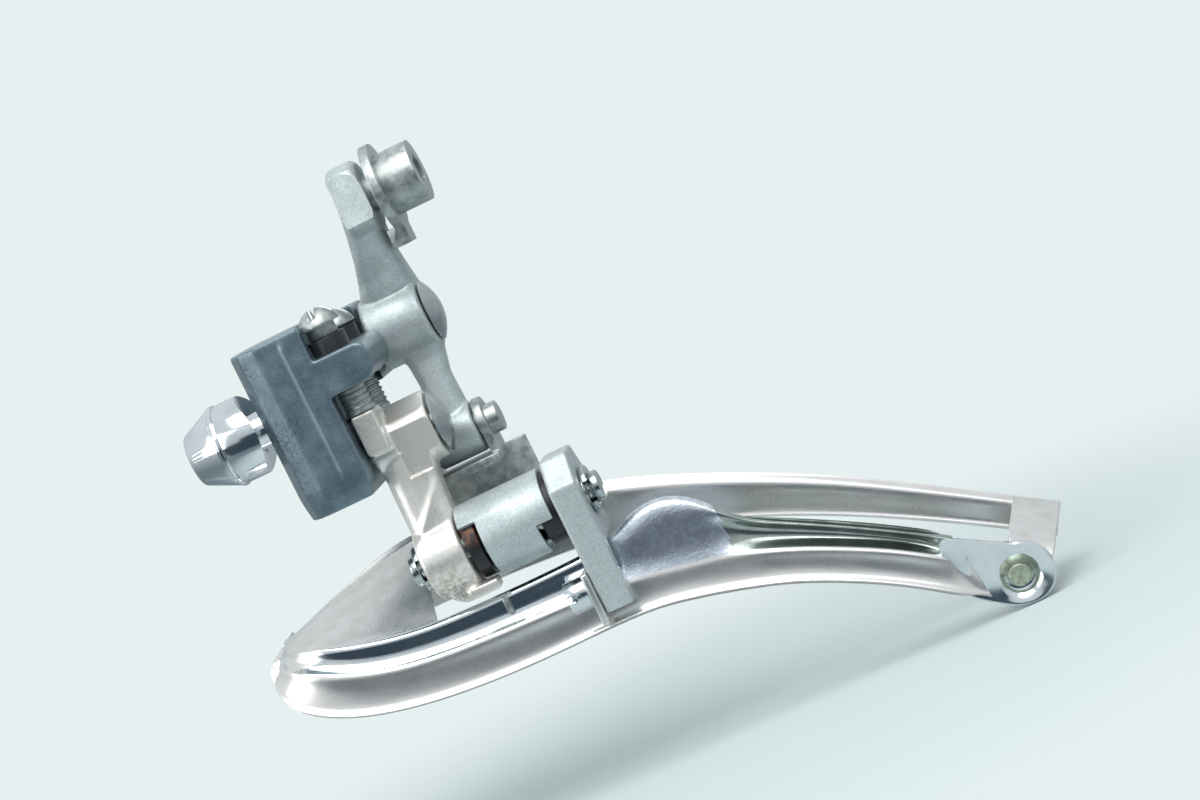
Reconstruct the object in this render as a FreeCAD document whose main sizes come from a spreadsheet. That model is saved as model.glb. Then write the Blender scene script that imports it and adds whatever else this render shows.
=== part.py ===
# Braze-on double front derailleur, as an assembly of separate pieces.
#
# Frame: +X forward along the pivot axes, +Y inboard (towards the seat tube), +Z up.
# The origin is where the clamp bolt's axis meets the apex of the mount body's saddle.
# All lengths are in millimetres.

import FreeCAD, Part
import math
import os
import Sketcher
from FreeCAD import Placement, Rotation, Vector

doc = FreeCAD.newDocument("FrontDerailleur")
sheet = doc.addObject("Spreadsheet::Sheet", "Sizes")

# Every size that can be set by itself, written once.
SIZES = [
    # fits
    ("running_gap", 0.05, "radial clearance of a pin that turns in a bore"),
    ("side_gap", 0.2, "axial clearance between pieces that turn on each other"),
    # four-bar linkage
    ("pivot_a_y", -2.0, "inner link's fixed pivot"),
    ("pivot_a_z", -9.1, "inner link's fixed pivot"),
    ("pivot_b_y", -12.0, "outer link's fixed pivot"),
    ("pivot_b_z", 4.0, "outer link's fixed pivot"),
    ("link_y", 2.0, "fixed to moving pivot, sideways"),
    ("link_drop", 16.4, "fixed to moving pivot, downwards"),
    ("pin_radius", 2.1, "all pivot pins"),
    ("pin_head_radius", 4.35, "mushroom heads of the fixed pins"),
    ("pin_head_rise", 1.5, "height of the mushroom heads"),
    # mount body
    ("saddle_radius", 12.0, "convex saddle, about a vertical axis"),
    ("block_depth", 11.0, "saddle apex to rear face"),
    ("block_half_width", 7.0, "half of the block across"),
    ("block_top", 10.3, "above the bolt axis"),
    ("block_bottom", 13.6, "below the bolt axis"),
    ("finger_reach", 18.2, "saddle apex to the end of the screw boss"),
    ("finger_height", 5.4, "top of the screw boss above the bolt axis"),
    ("finger_thick", 5.2, "height of the screw boss"),
    ("lug_reach", 15.7, "saddle apex to the rear face of the outer lug"),
    ("lug_radius", 5.4, "outer lug about its pivot"),
    # clamp
    ("bolt_radius", 2.5, "clamp bolt thread, M5"),
    ("bolt_length", 15.5, "clamp bolt under the head"),
    ("washer_radius", 5.5, "radius washer"),
    ("washer_gap", 0.15, "radius washer's horns to the saddle"),
    ("washer_length", 5.0, "radius washer along its axis"),
    ("washer_hollow", 9.6, "concave radius of the radius washer"),
    ("rim_thick", 0.6, "plain washer under the bolt's head"),
    ("bolt_head_base", 5.6, "radius of the conical head at its base"),
    ("bolt_head_nose", 3.5, "radius of the conical head at its nose"),
    ("bolt_head_length", 4.6, "conical head"),
    ("bolt_hex", 4.0, "hexagon socket across flats"),
    # limit screws
    ("screw_x", -13.0, "both limit screws"),
    ("screw_offset", 4.5, "screw axis to the inner link's fixed pivot, sideways"),
    ("screw_radius", 2.0, "M4 thread, major radius"),
    ("screw_pitch", 0.7, "M4 thread"),
    ("thread_depth", 0.4, "M4 thread"),
    ("screw_length", 12.4, "under the head"),
    ("screw_head_radius", 2.8, "domed head"),
    ("screw_head_height", 2.5, "domed head"),
    ("screw_slot", 0.9, "width of the cross slots"),
    ("low_tip_z", -3.4, "tip of the low limit screw"),
    ("high_tip_z", -4.8, "tip of the high limit screw"),
    ("sleeve_wall", 0.6, "nylon friction sleeves"),
    ("sleeve_stand", 2.0, "sleeves above the screw boss"),
    ("head_room", 0.3, "round the limit screws' heads and the outer link's boss"),
    ("body_round", 1.2, "rounding of the cast body's long edges"),
    ("pin_buried_a", 3.5, "saddle apex to the front end of the inner fixed pin"),
    ("pin_buried_b", 5.0, "saddle apex to the front end of the outer fixed pin"),
    ("swing", 42.0, "full swing of the linkage, degrees"),
    # inner link
    ("inner_front", -11.2, "front faces of the inner link"),
    ("inner_boss_length", 9.4, "upper boss along the pivot"),
    ("inner_boss_radius", 4.8, "upper boss"),
    ("inner_leg_depth", 6.2, "leg and eye along the pivot"),
    ("inner_leg_width", 5.4, "leg across"),
    ("inner_eye_radius", 5.3, "lower eye"),
    ("hook_drop", 6.2, "inner link's spring hook below the moving pivot"),
    ("hook_thick", 0.6, "spring hook, clear of the barrel all the way round"),
    ("hook_width", 3.2, "spring hook, sideways"),
    ("hook_reach", 2.0, "spring hook behind the rear face of the link"),
    ("toe_depth", 2.2, "toe of the link, along the pivot"),
    ("toe_width", 4.2, "toe of the link, sideways"),
    ("toe_height", 4.0, "toe of the link"),
    ("stop_width", 3.2, "stop lugs along the pivot"),
    # outer link
    ("outer_front", -15.9, "front faces of the outer link"),
    ("outer_boss_length", 8.5, "upper boss along the pivot"),
    ("outer_boss_radius", 5.1, "upper boss"),
    ("outer_foot_radius", 3.6, "lower boss"),
    ("outer_foot_length", 7.2, "lower boss along the pivot"),
    ("outer_leg_width", 4.6, "leg across"),
    ("arm_y", 5.0, "cable bolt from the fixed pivot, sideways"),
    ("arm_z", 17.4, "cable bolt from the fixed pivot, upwards"),
    ("arm_front", -20.6, "front face of the cable arm's tip"),
    ("arm_depth", 4.4, "cable arm's tip along the bolt"),
    ("arm_radius", 5.2, "cable arm's tip"),
    # cable anchor
    ("anchor_radius", 2.5, "M5 cable bolt"),
    ("anchor_head_radius", 4.25, "M5 socket head"),
    ("anchor_head_length", 4.7, "socket head"),
    ("anchor_hex", 4.0, "hexagon socket across flats"),
    ("anchor_gap", 1.3, "cable groove between arm and washer"),
    ("anchor_washer_radius", 6.0, "cable washer"),
    ("anchor_washer_thick", 1.3, "cable washer"),
    # moving pivots
    ("clip_radius", 3.3, "E-clip"),
    ("clip_thick", 0.75, "E-clip"),
    ("groove_depth", 0.5, "E-clip groove in the pin"),
    ("pin_end", 1.1, "pin beyond its clip"),
    # spring barrel
    ("barrel_radius", 5.5, "outside"),
    ("barrel_wall", 0.7, "sheet of the barrel"),
    ("barrel_front", -17.7, "front end of the barrel"),
    ("barrel_length", 12.0, "barrel along the pivot"),
    ("barrel_window", 2.4, "depth of the end windows"),
    ("barrel_mouth", 56.0, "opening along the barrel's underside, degrees"),
    ("spring_wire", 1.4, "spring wire"),
    ("spring_radius", 3.9, "spring, to the middle of the wire"),
    ("spring_pitch", 1.48, "spring"),
    ("spring_turns", 4.5, "spring"),
    ("bush_length", 1.8, "nylon spring seats"),
    ("seat_gap", 0.05, "spring seats to the barrel and the flange"),
    # flange
    ("flange_thick", 3.9, "pivot support plate"),
    ("flange_gap", 0.9, "barrel to flange"),
    ("flange_top", 6.2, "above the pivot"),
    ("flange_drop", 15.0, "below the pivot"),
    ("flange_inboard", 6.0, "from the pivot"),
    ("flange_outboard", 6.5, "from the pivot"),
    ("lug_plate", 1.0, "cage lug under the flange screw"),
    ("flange_screw_drop", 11.4, "flange screw below the pivot"),
    ("flange_screw_head", 2.2, "slotted head radius"),
    ("flange_screw_rise", 2.9, "slotted head height"),
    ("flange_screw_radius", 1.3, "flange screw shank"),
    # cage
    ("sheet_thick", 1.1, "cage plates"),
    ("inner_plate_y", 2.0, "inboard face of the upper band"),
    ("band_step", 1.0, "lower band stands inboard of the upper band"),
    ("outer_plate_y", -10.5, "inner face of the outer plate"),
    ("cage_x", 0.0, "cage outlines moved forward"),
    ("tail_eye_radius", 3.9, "inner plate's eye"),
    ("tail_rivet_radius", 1.5, "tail rivet"),
    # bracket
    ("bracket_thick", 1.2, "steel bracket"),
    ("bracket_outboard", 3.4, "bracket's skirt outboard of the moving pivot"),
    ("bracket_rivet_radius", 1.4, "rivets from bracket to cage"),
    ("rivet_spacing", 6.5, "between the bracket's rivets"),
    ("rivet_drop", 14.6, "bracket's rivets below the moving pivot"),
    ("plate_gap", 0.05, "plates that lie on each other"),
]


def fill_sheet():
    """Writes the sizes, with their meanings beside them, and names each cell."""
    for row, (name, value, meaning) in enumerate(SIZES, start=1):
        sheet.set("A%d" % row, name)
        sheet.set("B%d" % row, repr(value))
        sheet.set("C%d" % row, meaning)
        sheet.setAlias("B%d" % row, name)
    doc.recompute()


fill_sheet()


def size(name):
    """The number in a named cell."""
    return float(getattr(sheet, name))


def cells(text):
    """Puts the sheet's name in front of each size in an expression."""
    words = []
    word = ""
    for letter in text + " ":
        if letter.isalnum() or letter == "_":
            word += letter
            continue
        known = any(word == name for name, value, meaning in SIZES)
        words.append("Sizes." + word if known else word)
        words.append(letter)
        word = ""
    return "".join(words).strip()


def bind(item, **properties):
    """Ties an object's properties to expressions on the sheet."""
    for name, expression in properties.items():
        item.setExpression(name.replace("__", "."), cells(str(expression)))
    return item


def place(item, x, y, z, rotation=Rotation()):
    """Ties an object's position to the sheet."""
    item.Placement = Placement(Vector(), rotation)
    return bind(item, Placement__Base__x=x, Placement__Base__y=y, Placement__Base__z=z)


REARWARD = Rotation(Vector(0, 1, 0), -90)
OUTBOARD = Rotation(Vector(1, 0, 0), 90)
PIVOT_A = ("pivot_a_y", "pivot_a_z")
PIVOT_B = ("pivot_b_y", "pivot_b_z")
PIVOT_C = ("pivot_a_y + link_y", "pivot_a_z - link_drop")
PIVOT_D = ("pivot_b_y + link_y", "pivot_b_z - link_drop")


def box(name, corner, length, width, height):
    """A block from its lowest corner."""
    item = bind(doc.addObject("Part::Box", name), Length=length, Width=width, Height=height)
    return place(item, *corner)


def rod(name, radius, length, front, pivot):
    """A cylinder that runs rearward from its front face, about a pivot axis."""
    item = bind(doc.addObject("Part::Cylinder", name), Radius=radius, Height=length)
    return place(item, front, pivot[0], pivot[1], REARWARD)


def post(name, radius, length, x, y, z):
    """A vertical cylinder from its lower face."""
    item = bind(doc.addObject("Part::Cylinder", name), Radius=radius, Height=length)
    return place(item, x, y, z)


def cross_pin(name, radius, length, x, y, z):
    """A cylinder that runs outboard from its inboard face."""
    item = bind(doc.addObject("Part::Cylinder", name), Radius=radius, Height=length)
    return place(item, x, y, z, OUTBOARD)


def cone(name, front_radius, rear_radius, length, front, pivot):
    """A truncated cone that runs rearward from its front face."""
    item = doc.addObject("Part::Cone", name)
    bind(item, Radius1=front_radius, Radius2=rear_radius, Height=length)
    return place(item, front, pivot[0], pivot[1], REARWARD)


def fuse(name, *pieces):
    """One solid from several."""
    item = doc.addObject("Part::MultiFuse", name)
    item.Shapes = list(pieces)
    item.Refine = True
    return item


def cut(name, base, *tools):
    """A solid less each of the tools in turn."""
    left = base
    for index, tool in enumerate(tools):
        last = index == len(tools) - 1
        item = doc.addObject("Part::Cut", name if last else "%sCut%d" % (name, index))
        item.Base = left
        item.Tool = tool
        item.Refine = last
        left = item
    return left


def common(name, *pieces):
    """What several solids share."""
    item = doc.addObject("Part::MultiCommon", name)
    item.Shapes = list(pieces)
    return item


def prism(name, plane, outline, start, length):
    """A body padded from a closed outline of straight edges, tied to the sheet.

    The outline's points are pairs of expressions in the plane's own axes.
    """
    body = doc.addObject("PartDesign::Body", name)
    support = [one for one in body.Origin.OriginFeatures if one.Role == plane][0]
    sketch = body.newObject("Sketcher::SketchObject", name + "Sketch")
    sketch.AttachmentSupport = (support, [""])
    sketch.MapMode = "FlatFace"
    bind(sketch, AttachmentOffset__Base__z=start)
    corners = [[evaluate(part) for part in point] for point in outline]
    count = len(corners)
    for index, (along, up) in enumerate(corners):
        after = corners[(index + 1) % count]
        edge = Part.LineSegment(Vector(along, up, 0), Vector(after[0], after[1], 0))
        sketch.addGeometry(edge, False)
    for index in range(count):
        after = (index + 1) % count
        sketch.addConstraint(Sketcher.Constraint("Coincident", index, 2, after, 1))
    for index, (along, up) in enumerate(corners):
        pairs = (("DistanceX", along, outline[index][0]), ("DistanceY", up, outline[index][1]))
        for kind, value, expression in pairs:
            row = sketch.addConstraint(Sketcher.Constraint(kind, -1, 1, index, 1, value))
            sketch.setExpression("Constraints[%d]" % row, cells(str(expression)))
    pad = body.newObject("PartDesign::Pad", name + "Pad")
    pad.Profile = sketch
    bind(pad, Length=length)
    return body


def evaluate(expression):
    """The number that an expression on the sheet has now."""
    return float(sheet.evalExpression(cells(str(expression))))


def hexagon(name, flats, length, front, pivot):
    """A hexagonal plug that runs rearward from its front face."""
    item = doc.addObject("Part::Prism", name)
    item.Polygon = 6
    bind(item, Circumradius="(%s) / 2 / cos(30)" % flats, Height=length)
    return place(item, front, pivot[0], pivot[1], REARWARD)


def dome(name, rim, rise, face, pivot):
    """A domed head whose flat side is at the given face; it bulges rearward."""
    radius = "((%s)^2 + (%s)^2) / (2 * (%s))" % (rim, rise, rise)
    ball = bind(doc.addObject("Part::Sphere", name + "Ball"), Radius=radius)
    place(ball, "%s - (%s) + %s" % (face, rise, radius), pivot[0], pivot[1])
    disc = rod(name + "Disc", rim, rise, face, pivot)
    return common(name, ball, disc)


# ---------------------------------------------------------------- fixed pivots

A_SEAT = "inner_front - inner_boss_length - side_gap"
B_SEAT = "outer_front - outer_boss_length - side_gap"


def fixed_pin(name, pivot, seat, buried):
    """A mushroom-headed pin: its shank goes forward into the mount body."""
    reach = "(%s) - (%s)" % (buried, seat)
    shank = rod(name + "Shank", "pin_radius", reach, buried, pivot)
    head = dome(name + "Head", "pin_head_radius", "pin_head_rise", seat, pivot)
    pin = fuse(name, shank, head)
    pin.Label = name
    return pin


inner_fixed_pin = fixed_pin("inner_fixed_pin", PIVOT_A, A_SEAT, "0 - pin_buried_a")
outer_fixed_pin = fixed_pin("outer_fixed_pin", PIVOT_B, B_SEAT, "0 - pin_buried_b")

# ------------------------------------------------------------------ mount body

LOW_Y = "pivot_a_y + screw_offset"
HIGH_Y = "pivot_a_y - screw_offset"
SLEEVE = "screw_radius + running_gap + sleeve_wall"
FINGER_BOTTOM = "finger_height - finger_thick"
B_LUG_OUTBOARD = "pivot_b_y - lug_radius"
HEAD_FLOOR = {"Low": "finger_height + sleeve_stand", "High": "finger_height"}


def mount_body():
    """The cast body: saddle block, screw boss, and the lug of the outer link."""
    block = box("Block", ("0 - block_depth", "0 - block_half_width", "0 - block_bottom"),
                "block_depth", "2 * block_half_width", "block_top + block_bottom")
    saddle = post("Saddle", "saddle_radius", "block_top + block_bottom",
                  "0 - saddle_radius", "0", "0 - block_bottom")
    core = common("SaddleBlock", block, saddle)
    finger_y = "pivot_a_y - screw_offset - 3.4"
    finger = box("Finger", ("0 - finger_reach", finger_y, FINGER_BOTTOM),
                 "finger_reach - 6", "block_half_width - (%s)" % finger_y, "finger_thick")
    shoulder = box("Shoulder", ("0 - lug_reach", B_LUG_OUTBOARD, "pivot_b_z - lug_radius"),
                   "lug_reach - 3", "0 - block_half_width + 1 - (%s)" % B_LUG_OUTBOARD,
                   "2 * lug_radius")
    raw = fuse("RawBody", core, finger, shoulder)
    soft = rounded("SoftBody", raw, size("body_round"), body_edges)
    bores = [
        rod("BodyBoreA", "pin_radius", "block_depth", "0 - pin_buried_a", PIVOT_A),
        rod("BodyBoreB", "pin_radius", "lug_reach", "0 - pin_buried_b", PIVOT_B),
        rod("ClampBore", "bolt_radius + running_gap", "block_depth + 2.2", "2", ("0", "0")),
        rod("OuterLinkRoom", "outer_boss_radius + head_room", "4", "0 - lug_reach", PIVOT_B),
    ]
    for tag, across in (("Low", LOW_Y), ("High", HIGH_Y)):
        bores.append(post(tag + "Bore", SLEEVE, "finger_thick + sleeve_stand + 3", "screw_x",
                          across, FINGER_BOTTOM + " - 3"))
        bores.append(post(tag + "HeadRoom", "screw_head_radius + head_room", "8", "screw_x",
                          across, HEAD_FLOOR[tag]))
    body = cut("mount_body", soft, *bores)
    body.Label = "mount_body"
    return body


def rounded(name, base, radius, chosen):
    """Rounds the chosen edges of a finished shape."""
    doc.recompute()
    item = doc.addObject("Part::Fillet", name)
    item.Base = base
    item.Edges = [(index, radius, radius) for index in chosen(base.Shape)]
    return item


def straight(edge, axis):
    """Whether an edge is a straight line along an axis."""
    if not isinstance(edge.Curve, Part.Line):
        return False
    return abs(edge.Curve.Direction.dot(axis)) > 0.999


def body_edges(shape):
    """The long outer edges of the cast body that run along the pivots."""
    limit = size("block_half_width") - 0.5
    chosen = []
    for index, edge in enumerate(shape.Edges, start=1):
        middle = edge.BoundBox.Center
        if straight(edge, Vector(1, 0, 0)) and middle.y > limit and edge.Length > 3:
            chosen.append(index)
    return chosen


mount_body()


def limit_sleeves():
    """Nylon sleeves, pressed into the screw boss, that hold the limit screws by friction."""
    sleeves = []
    for tag, across in (("Low", LOW_Y), ("High", HIGH_Y)):
        tall = "finger_thick + sleeve_stand"
        outer = post(tag + "SleeveOuter", SLEEVE, tall, "screw_x", across, FINGER_BOTTOM)
        inner = post(tag + "SleeveInner", "screw_radius + running_gap", tall + " + 2",
                     "screw_x", across, FINGER_BOTTOM + " - 1")
        sleeves.append(cut(tag + "Sleeve", outer, inner))
    pair = doc.addObject("Part::Compound", "limit_screw_sleeves")
    pair.Links = sleeves
    pair.Label = "limit_screw_sleeves"


limit_sleeves()


def limit_screw(label, across, tip):
    """A domed, cross-slotted M4 screw whose thread is turned as separate grooves."""
    shank = post(label + "Shank", "screw_radius", "screw_length + 0.1", "screw_x", across, tip)
    seat = "%s + screw_length" % tip
    radius = "(screw_head_radius^2 + screw_head_height^2) / (2 * screw_head_height)"
    ball = bind(doc.addObject("Part::Sphere", label + "Ball"), Radius=radius)
    place(ball, "screw_x", across, "%s + screw_head_height - %s" % (seat, radius))
    disc = post(label + "Disc", "screw_head_radius", "screw_head_height", "screw_x", across, seat)
    head = common(label + "Head", ball, disc)
    whole = fuse(label + "Whole", shank, head)
    grooves = []
    for index in range(15):
        ring = doc.addObject("Part::Torus", "%sGroove%d" % (label, index))
        bind(ring, Radius1="screw_radius + 0.05", Radius2="screw_pitch * 0.36")
        place(ring, "screw_x", across, "%s + 0.9 + %d * screw_pitch" % (tip, index))
        grooves.append(ring)
    slots = [
        box(label + "SlotX", ("screw_x - 4", "%s - screw_slot / 2" % across,
                              "%s + screw_head_height * 0.45" % seat), "8", "screw_slot", "3"),
        box(label + "SlotY", ("screw_x - screw_slot / 2", "%s - 4" % across,
                              "%s + screw_head_height * 0.45" % seat), "screw_slot", "8", "3"),
    ]
    screw = cut(label, whole, *(grooves + slots))
    screw.Label = label


limit_screw("limit_screw_low", LOW_Y, "low_tip_z")
limit_screw("limit_screw_high", HIGH_Y, "high_tip_z")

# ------------------------------------------------------------------ clamp

AXIS = ("0", "0")


def clamp_pieces():
    """Radius washer, plain washer and the socket bolt with its conical head."""
    front = "washer_gap + washer_length"
    blank = rod("WasherBlank", "washer_radius", "washer_length", front, AXIS)
    hollow_x = "washer_gap - sqrt(washer_hollow^2 - washer_radius^2)"
    hollow = post("WasherHollow", "washer_hollow", "4 * washer_radius", hollow_x,
                  "0", "0 - 2 * washer_radius")
    bore = rod("WasherBore", "bolt_radius + running_gap", "washer_length + 2",
               front + " + 1", AXIS)
    washer = cut("radius_washer", blank, hollow, bore)
    washer.Label = "radius_washer"

    rim = rod("RimBlank", "bolt_head_base + 0.1", "rim_thick", front + " + rim_thick", AXIS)
    rim_bore = rod("RimBore", "bolt_radius + running_gap", "rim_thick + 2",
                   front + " + rim_thick + 1", AXIS)
    plain = cut("clamp_washer", rim, rim_bore)
    plain.Label = "clamp_washer"

    seat = front + " + rim_thick"
    head = cone("BoltHead", "bolt_head_nose", "bolt_head_base", "bolt_head_length",
                seat + " + bolt_head_length", AXIS)
    shank = rod("BoltShank", "bolt_radius", "bolt_length", seat, AXIS)
    whole = fuse("BoltWhole", head, shank)
    socket = hexagon("BoltSocket", "bolt_hex", "3", seat + " + bolt_head_length + 0.01", AXIS)
    bolt = cut("clamp_bolt", whole, socket)
    bolt.Label = "clamp_bolt"


clamp_pieces()

# ------------------------------------------------------------------ inner link


def bar(name, start, end, width, front, depth):
    """A flat bar between two pivots, as a prism across the pivot axes."""
    y1, z1 = evaluate(start[0]), evaluate(start[1])
    y2, z2 = evaluate(end[0]), evaluate(end[1])
    span = math.hypot(y2 - y1, z2 - z1)
    angle = math.degrees(math.atan2(z2 - z1, y2 - y1))
    item = bind(doc.addObject("Part::Box", name), Length=depth, Height=width)
    item.Width = span
    middle = Vector(0, 0, evaluate(width) / 2)
    turn = Rotation(Vector(1, 0, 0), angle)
    base = Vector(evaluate("%s - (%s)" % (front, depth)), y1, z1) - turn.multVec(middle)
    item.Placement = Placement(base, turn)
    return item


def stop_point(across, tip, angle):
    """A point of a limit screw's tip, turned back to the link's rest position."""
    turn = math.radians(angle)
    y = evaluate(across) - size("pivot_a_y")
    z = evaluate(tip) - size("pivot_a_z")
    return (y * math.cos(turn) - z * math.sin(turn), y * math.sin(turn) + z * math.cos(turn))


def inner_link():
    """Forged link: upper boss with its two stop lugs, leg, lower eye and spring hook."""
    boss = rod("InnerBoss", "inner_boss_radius", "inner_boss_length", "inner_front", PIVOT_A)
    leg = bar("InnerLeg", PIVOT_A, PIVOT_C, "inner_leg_width", "inner_front", "inner_leg_depth")
    eye = rod("InnerEye", "inner_eye_radius", "inner_leg_depth", "inner_front", PIVOT_C)
    low_lug = box("LowLug", ("screw_x - stop_width / 2", "pivot_a_y",
                             "pivot_a_z"), "stop_width", "screw_offset + 2",
                  "low_tip_z - pivot_a_z - 0.02")
    high = stop_point(HIGH_Y, "high_tip_z", size("swing"))
    high_lug = bind(doc.addObject("Part::Box", "HighLug"), Length="stop_width",
                    Width="3.4", Height="3.0")
    turn = Rotation(Vector(1, 0, 0), size("swing"))
    corner = Vector(size("screw_x") - size("stop_width") / 2,
                    size("pivot_a_y") + high[0], size("pivot_a_z") + high[1])
    high_lug.Placement = Placement(corner + turn.multVec(Vector(0, -1.4, -3.02)), turn)
    far_side = "pivot_a_y + link_y + 3.6"
    hook_z = "pivot_a_z - link_drop - hook_drop"
    hook = box("SpringHook", ("inner_front - inner_leg_depth - hook_reach",
                              f"{far_side} - hook_width", hook_z),
               "toe_depth + hook_reach", "hook_width", "hook_thick")
    toe = box("Toe", ("inner_front - inner_leg_depth", f"{far_side} - toe_width", hook_z),
              "toe_depth", "toe_width", "toe_height")
    whole = fuse("InnerWhole", boss, leg, eye, low_lug, high_lug, hook, toe)
    bore_a = rod("InnerBoreA", "pin_radius + running_gap", "inner_boss_length + 2",
                 "inner_front + 1", PIVOT_A)
    bore_c = rod("InnerBoreC", "pin_radius + running_gap", "inner_leg_depth + 2",
                 "inner_front + 1", PIVOT_C)
    link = cut("inner_link", whole, bore_a, bore_c)
    link.Label = "inner_link"


inner_link()

# ------------------------------------------------------------------ outer link

ARM = ("pivot_b_y + arm_y", "pivot_b_z + arm_z")


def outer_link():
    """Link with the cable arm above its fixed pivot."""
    boss = rod("OuterBoss", "outer_boss_radius", "outer_boss_length", "outer_front", PIVOT_B)
    foot = rod("OuterFoot", "outer_foot_radius", "outer_foot_length", "outer_front - 0.9", PIVOT_D)
    leg = bar("OuterLeg", PIVOT_B, PIVOT_D, "outer_leg_width", "outer_front - 1.8", "5.6")
    neck = bar("ArmNeck", PIVOT_B, ARM, "5.6", "arm_front + 1.6", "arm_depth + 0.8")
    tip = rod("ArmTip", "arm_radius", "arm_depth", "arm_front", ARM)
    whole = fuse("OuterWhole", boss, foot, leg, neck, tip)
    bore_b = rod("OuterBoreB", "pin_radius + running_gap", "outer_boss_length + 2",
                 "outer_front + 1", PIVOT_B)
    bore_d = rod("OuterBoreD", "pin_radius + running_gap", "outer_foot_length + 4",
                 "outer_front + 1", PIVOT_D)
    bore_e = rod("ArmBore", "anchor_radius + running_gap", "arm_depth + 4", "arm_front + 2", ARM)
    link = cut("outer_link", whole, bore_b, bore_d, bore_e)
    link.Label = "outer_link"


outer_link()


def cable_anchor():
    """Socket screw and washer that hold the cable against the arm."""
    rear = "arm_front - arm_depth"
    washer = rod("AnchorDisc", "anchor_washer_radius", "anchor_washer_thick",
                 rear + " - anchor_gap", ARM)
    tab = box("AnchorTab", (rear + " - anchor_gap - anchor_washer_thick",
                            ARM[0] + " - 2.2", ARM[1] + " - anchor_washer_radius - 2"),
              "anchor_washer_thick + anchor_gap - 0.1", "4.4", "2.6")
    bore = rod("AnchorBore", "anchor_radius + running_gap", "4", rear + " + 1", ARM)
    plate = cut("cable_washer", fuse("AnchorPlate", washer, tab), bore)
    plate.Label = "cable_washer"
    seat = rear + " - anchor_gap - anchor_washer_thick"
    shank = rod("AnchorShank", "anchor_radius", "arm_front - (%s)" % seat, "arm_front", ARM)
    head = rod("AnchorHead", "anchor_head_radius", "anchor_head_length", seat, ARM)
    socket = hexagon("AnchorSocket", "anchor_hex", "3", seat + " - anchor_head_length + 2.6", ARM)
    bolt = cut("cable_bolt", fuse("AnchorWhole", shank, head), socket)
    bolt.Label = "cable_bolt"


cable_anchor()

# ------------------------------------------------------------------ moving pivots

C_FRONT = "inner_front + side_gap + clip_thick + pin_end"
FLANGE_FRONT = "barrel_front - barrel_length - flange_gap"
FLANGE_REAR = "barrel_front - barrel_length - flange_gap - flange_thick"
C_REAR = FLANGE_REAR + " - side_gap - clip_thick - pin_end"
EAR_FRONT = "outer_front - 0.9 + side_gap + bracket_thick"
EAR_REAR = "outer_front - 0.9 - outer_foot_length - side_gap - bracket_thick"


def clip_fronts():
    """Front faces of the two E-clips."""
    return ("inner_front + side_gap + clip_thick", FLANGE_REAR + " - side_gap")


def moving_pins():
    """Long pin of the inner link's lower pivot, and short riveted pin of the outer one."""
    long_pin = rod("LongPin", "pin_radius", "%s - (%s)" % (C_FRONT, C_REAR), C_FRONT, PIVOT_C)
    grooves = []
    for index, front in enumerate(clip_fronts()):
        blank = rod("GrooveBlank%d" % index, "pin_radius + 1", "clip_thick", front, PIVOT_C)
        core = rod("GrooveCore%d" % index, "pin_radius - groove_depth", "clip_thick",
                   front, PIVOT_C)
        grooves.append(cut("Groove%d" % index, blank, core))
    pin = cut("inner_moving_pin", long_pin, *grooves)
    pin.Label = "inner_moving_pin"
    reach = "%s + 0.8 - (%s) + 1.6" % (EAR_FRONT, EAR_REAR)
    short = rod("outer_moving_pin", "pin_radius", reach, EAR_FRONT + " + 0.8", PIVOT_D)
    short.Label = "outer_moving_pin"


def pivot_clips():
    """Two equal E-clips on the long pin."""
    clips = []
    for index, front in enumerate(clip_fronts()):
        disc = rod("ClipDisc%d" % index, "clip_radius", "clip_thick", front, PIVOT_C)
        hole = rod("ClipHole%d" % index, "pin_radius - groove_depth", "clip_thick + 2",
                   front + " + 1", PIVOT_C)
        slot = box("ClipSlot%d" % index,
                   (front + " - clip_thick - 1", PIVOT_C[0],
                    PIVOT_C[1] + " - (pin_radius - groove_depth) * 0.9"),
                   "clip_thick + 2", "clip_radius + 1", "2 * (pin_radius - groove_depth) * 0.9")
        clips.append(cut("Clip%d" % index, disc, hole, slot))
    pair = doc.addObject("Part::Compound", "pivot_clips")
    pair.Links = clips
    pair.Label = "pivot_clips"


moving_pins()
pivot_clips()

# ------------------------------------------------------------------ spring barrel


def wedge(name, front, length, start, sweep):
    """A pie slice about the long pin, from an angle above the inboard direction."""
    item = doc.addObject("Part::Cylinder", name)
    bind(item, Radius="barrel_radius + 2", Height=length, Angle=sweep)
    item.Placement = Placement(Vector(), pie_rotation(start))
    return bind(item, Placement__Base__x="%s - (%s)" % (front, length),
                Placement__Base__y=PIVOT_C[0], Placement__Base__z=PIVOT_C[1])


def pie_rotation(start):
    """Turns a cylinder's axis to +X, with its first edge at an angle above +Y."""
    to_pivot = Rotation(Vector(1, 1, 1), 120)
    return Rotation(Vector(1, 0, 0), start).multiply(to_pivot)


def spring_barrel():
    """Sheet barrel round the spring, with a window at each end and an open underside."""
    outer = rod("BarrelOuter", "barrel_radius", "barrel_length", "barrel_front", PIVOT_C)
    inner = rod("BarrelInner", "barrel_radius - barrel_wall", "barrel_length + 2",
                "barrel_front + 1", PIVOT_C)
    mouth = wedge("BarrelMouth", "barrel_front + 1", "barrel_length + 2", -124, "barrel_mouth")
    front = wedge("FrontWindow", "barrel_front + 1", "barrel_window + 1", -70, "105")
    rear = wedge("RearWindow", "barrel_front - barrel_length + barrel_window",
                 "barrel_window + 1", -70, "62")
    barrel = cut("spring_barrel", outer, inner, mouth, front, rear)
    barrel.Label = "spring_barrel"


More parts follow.
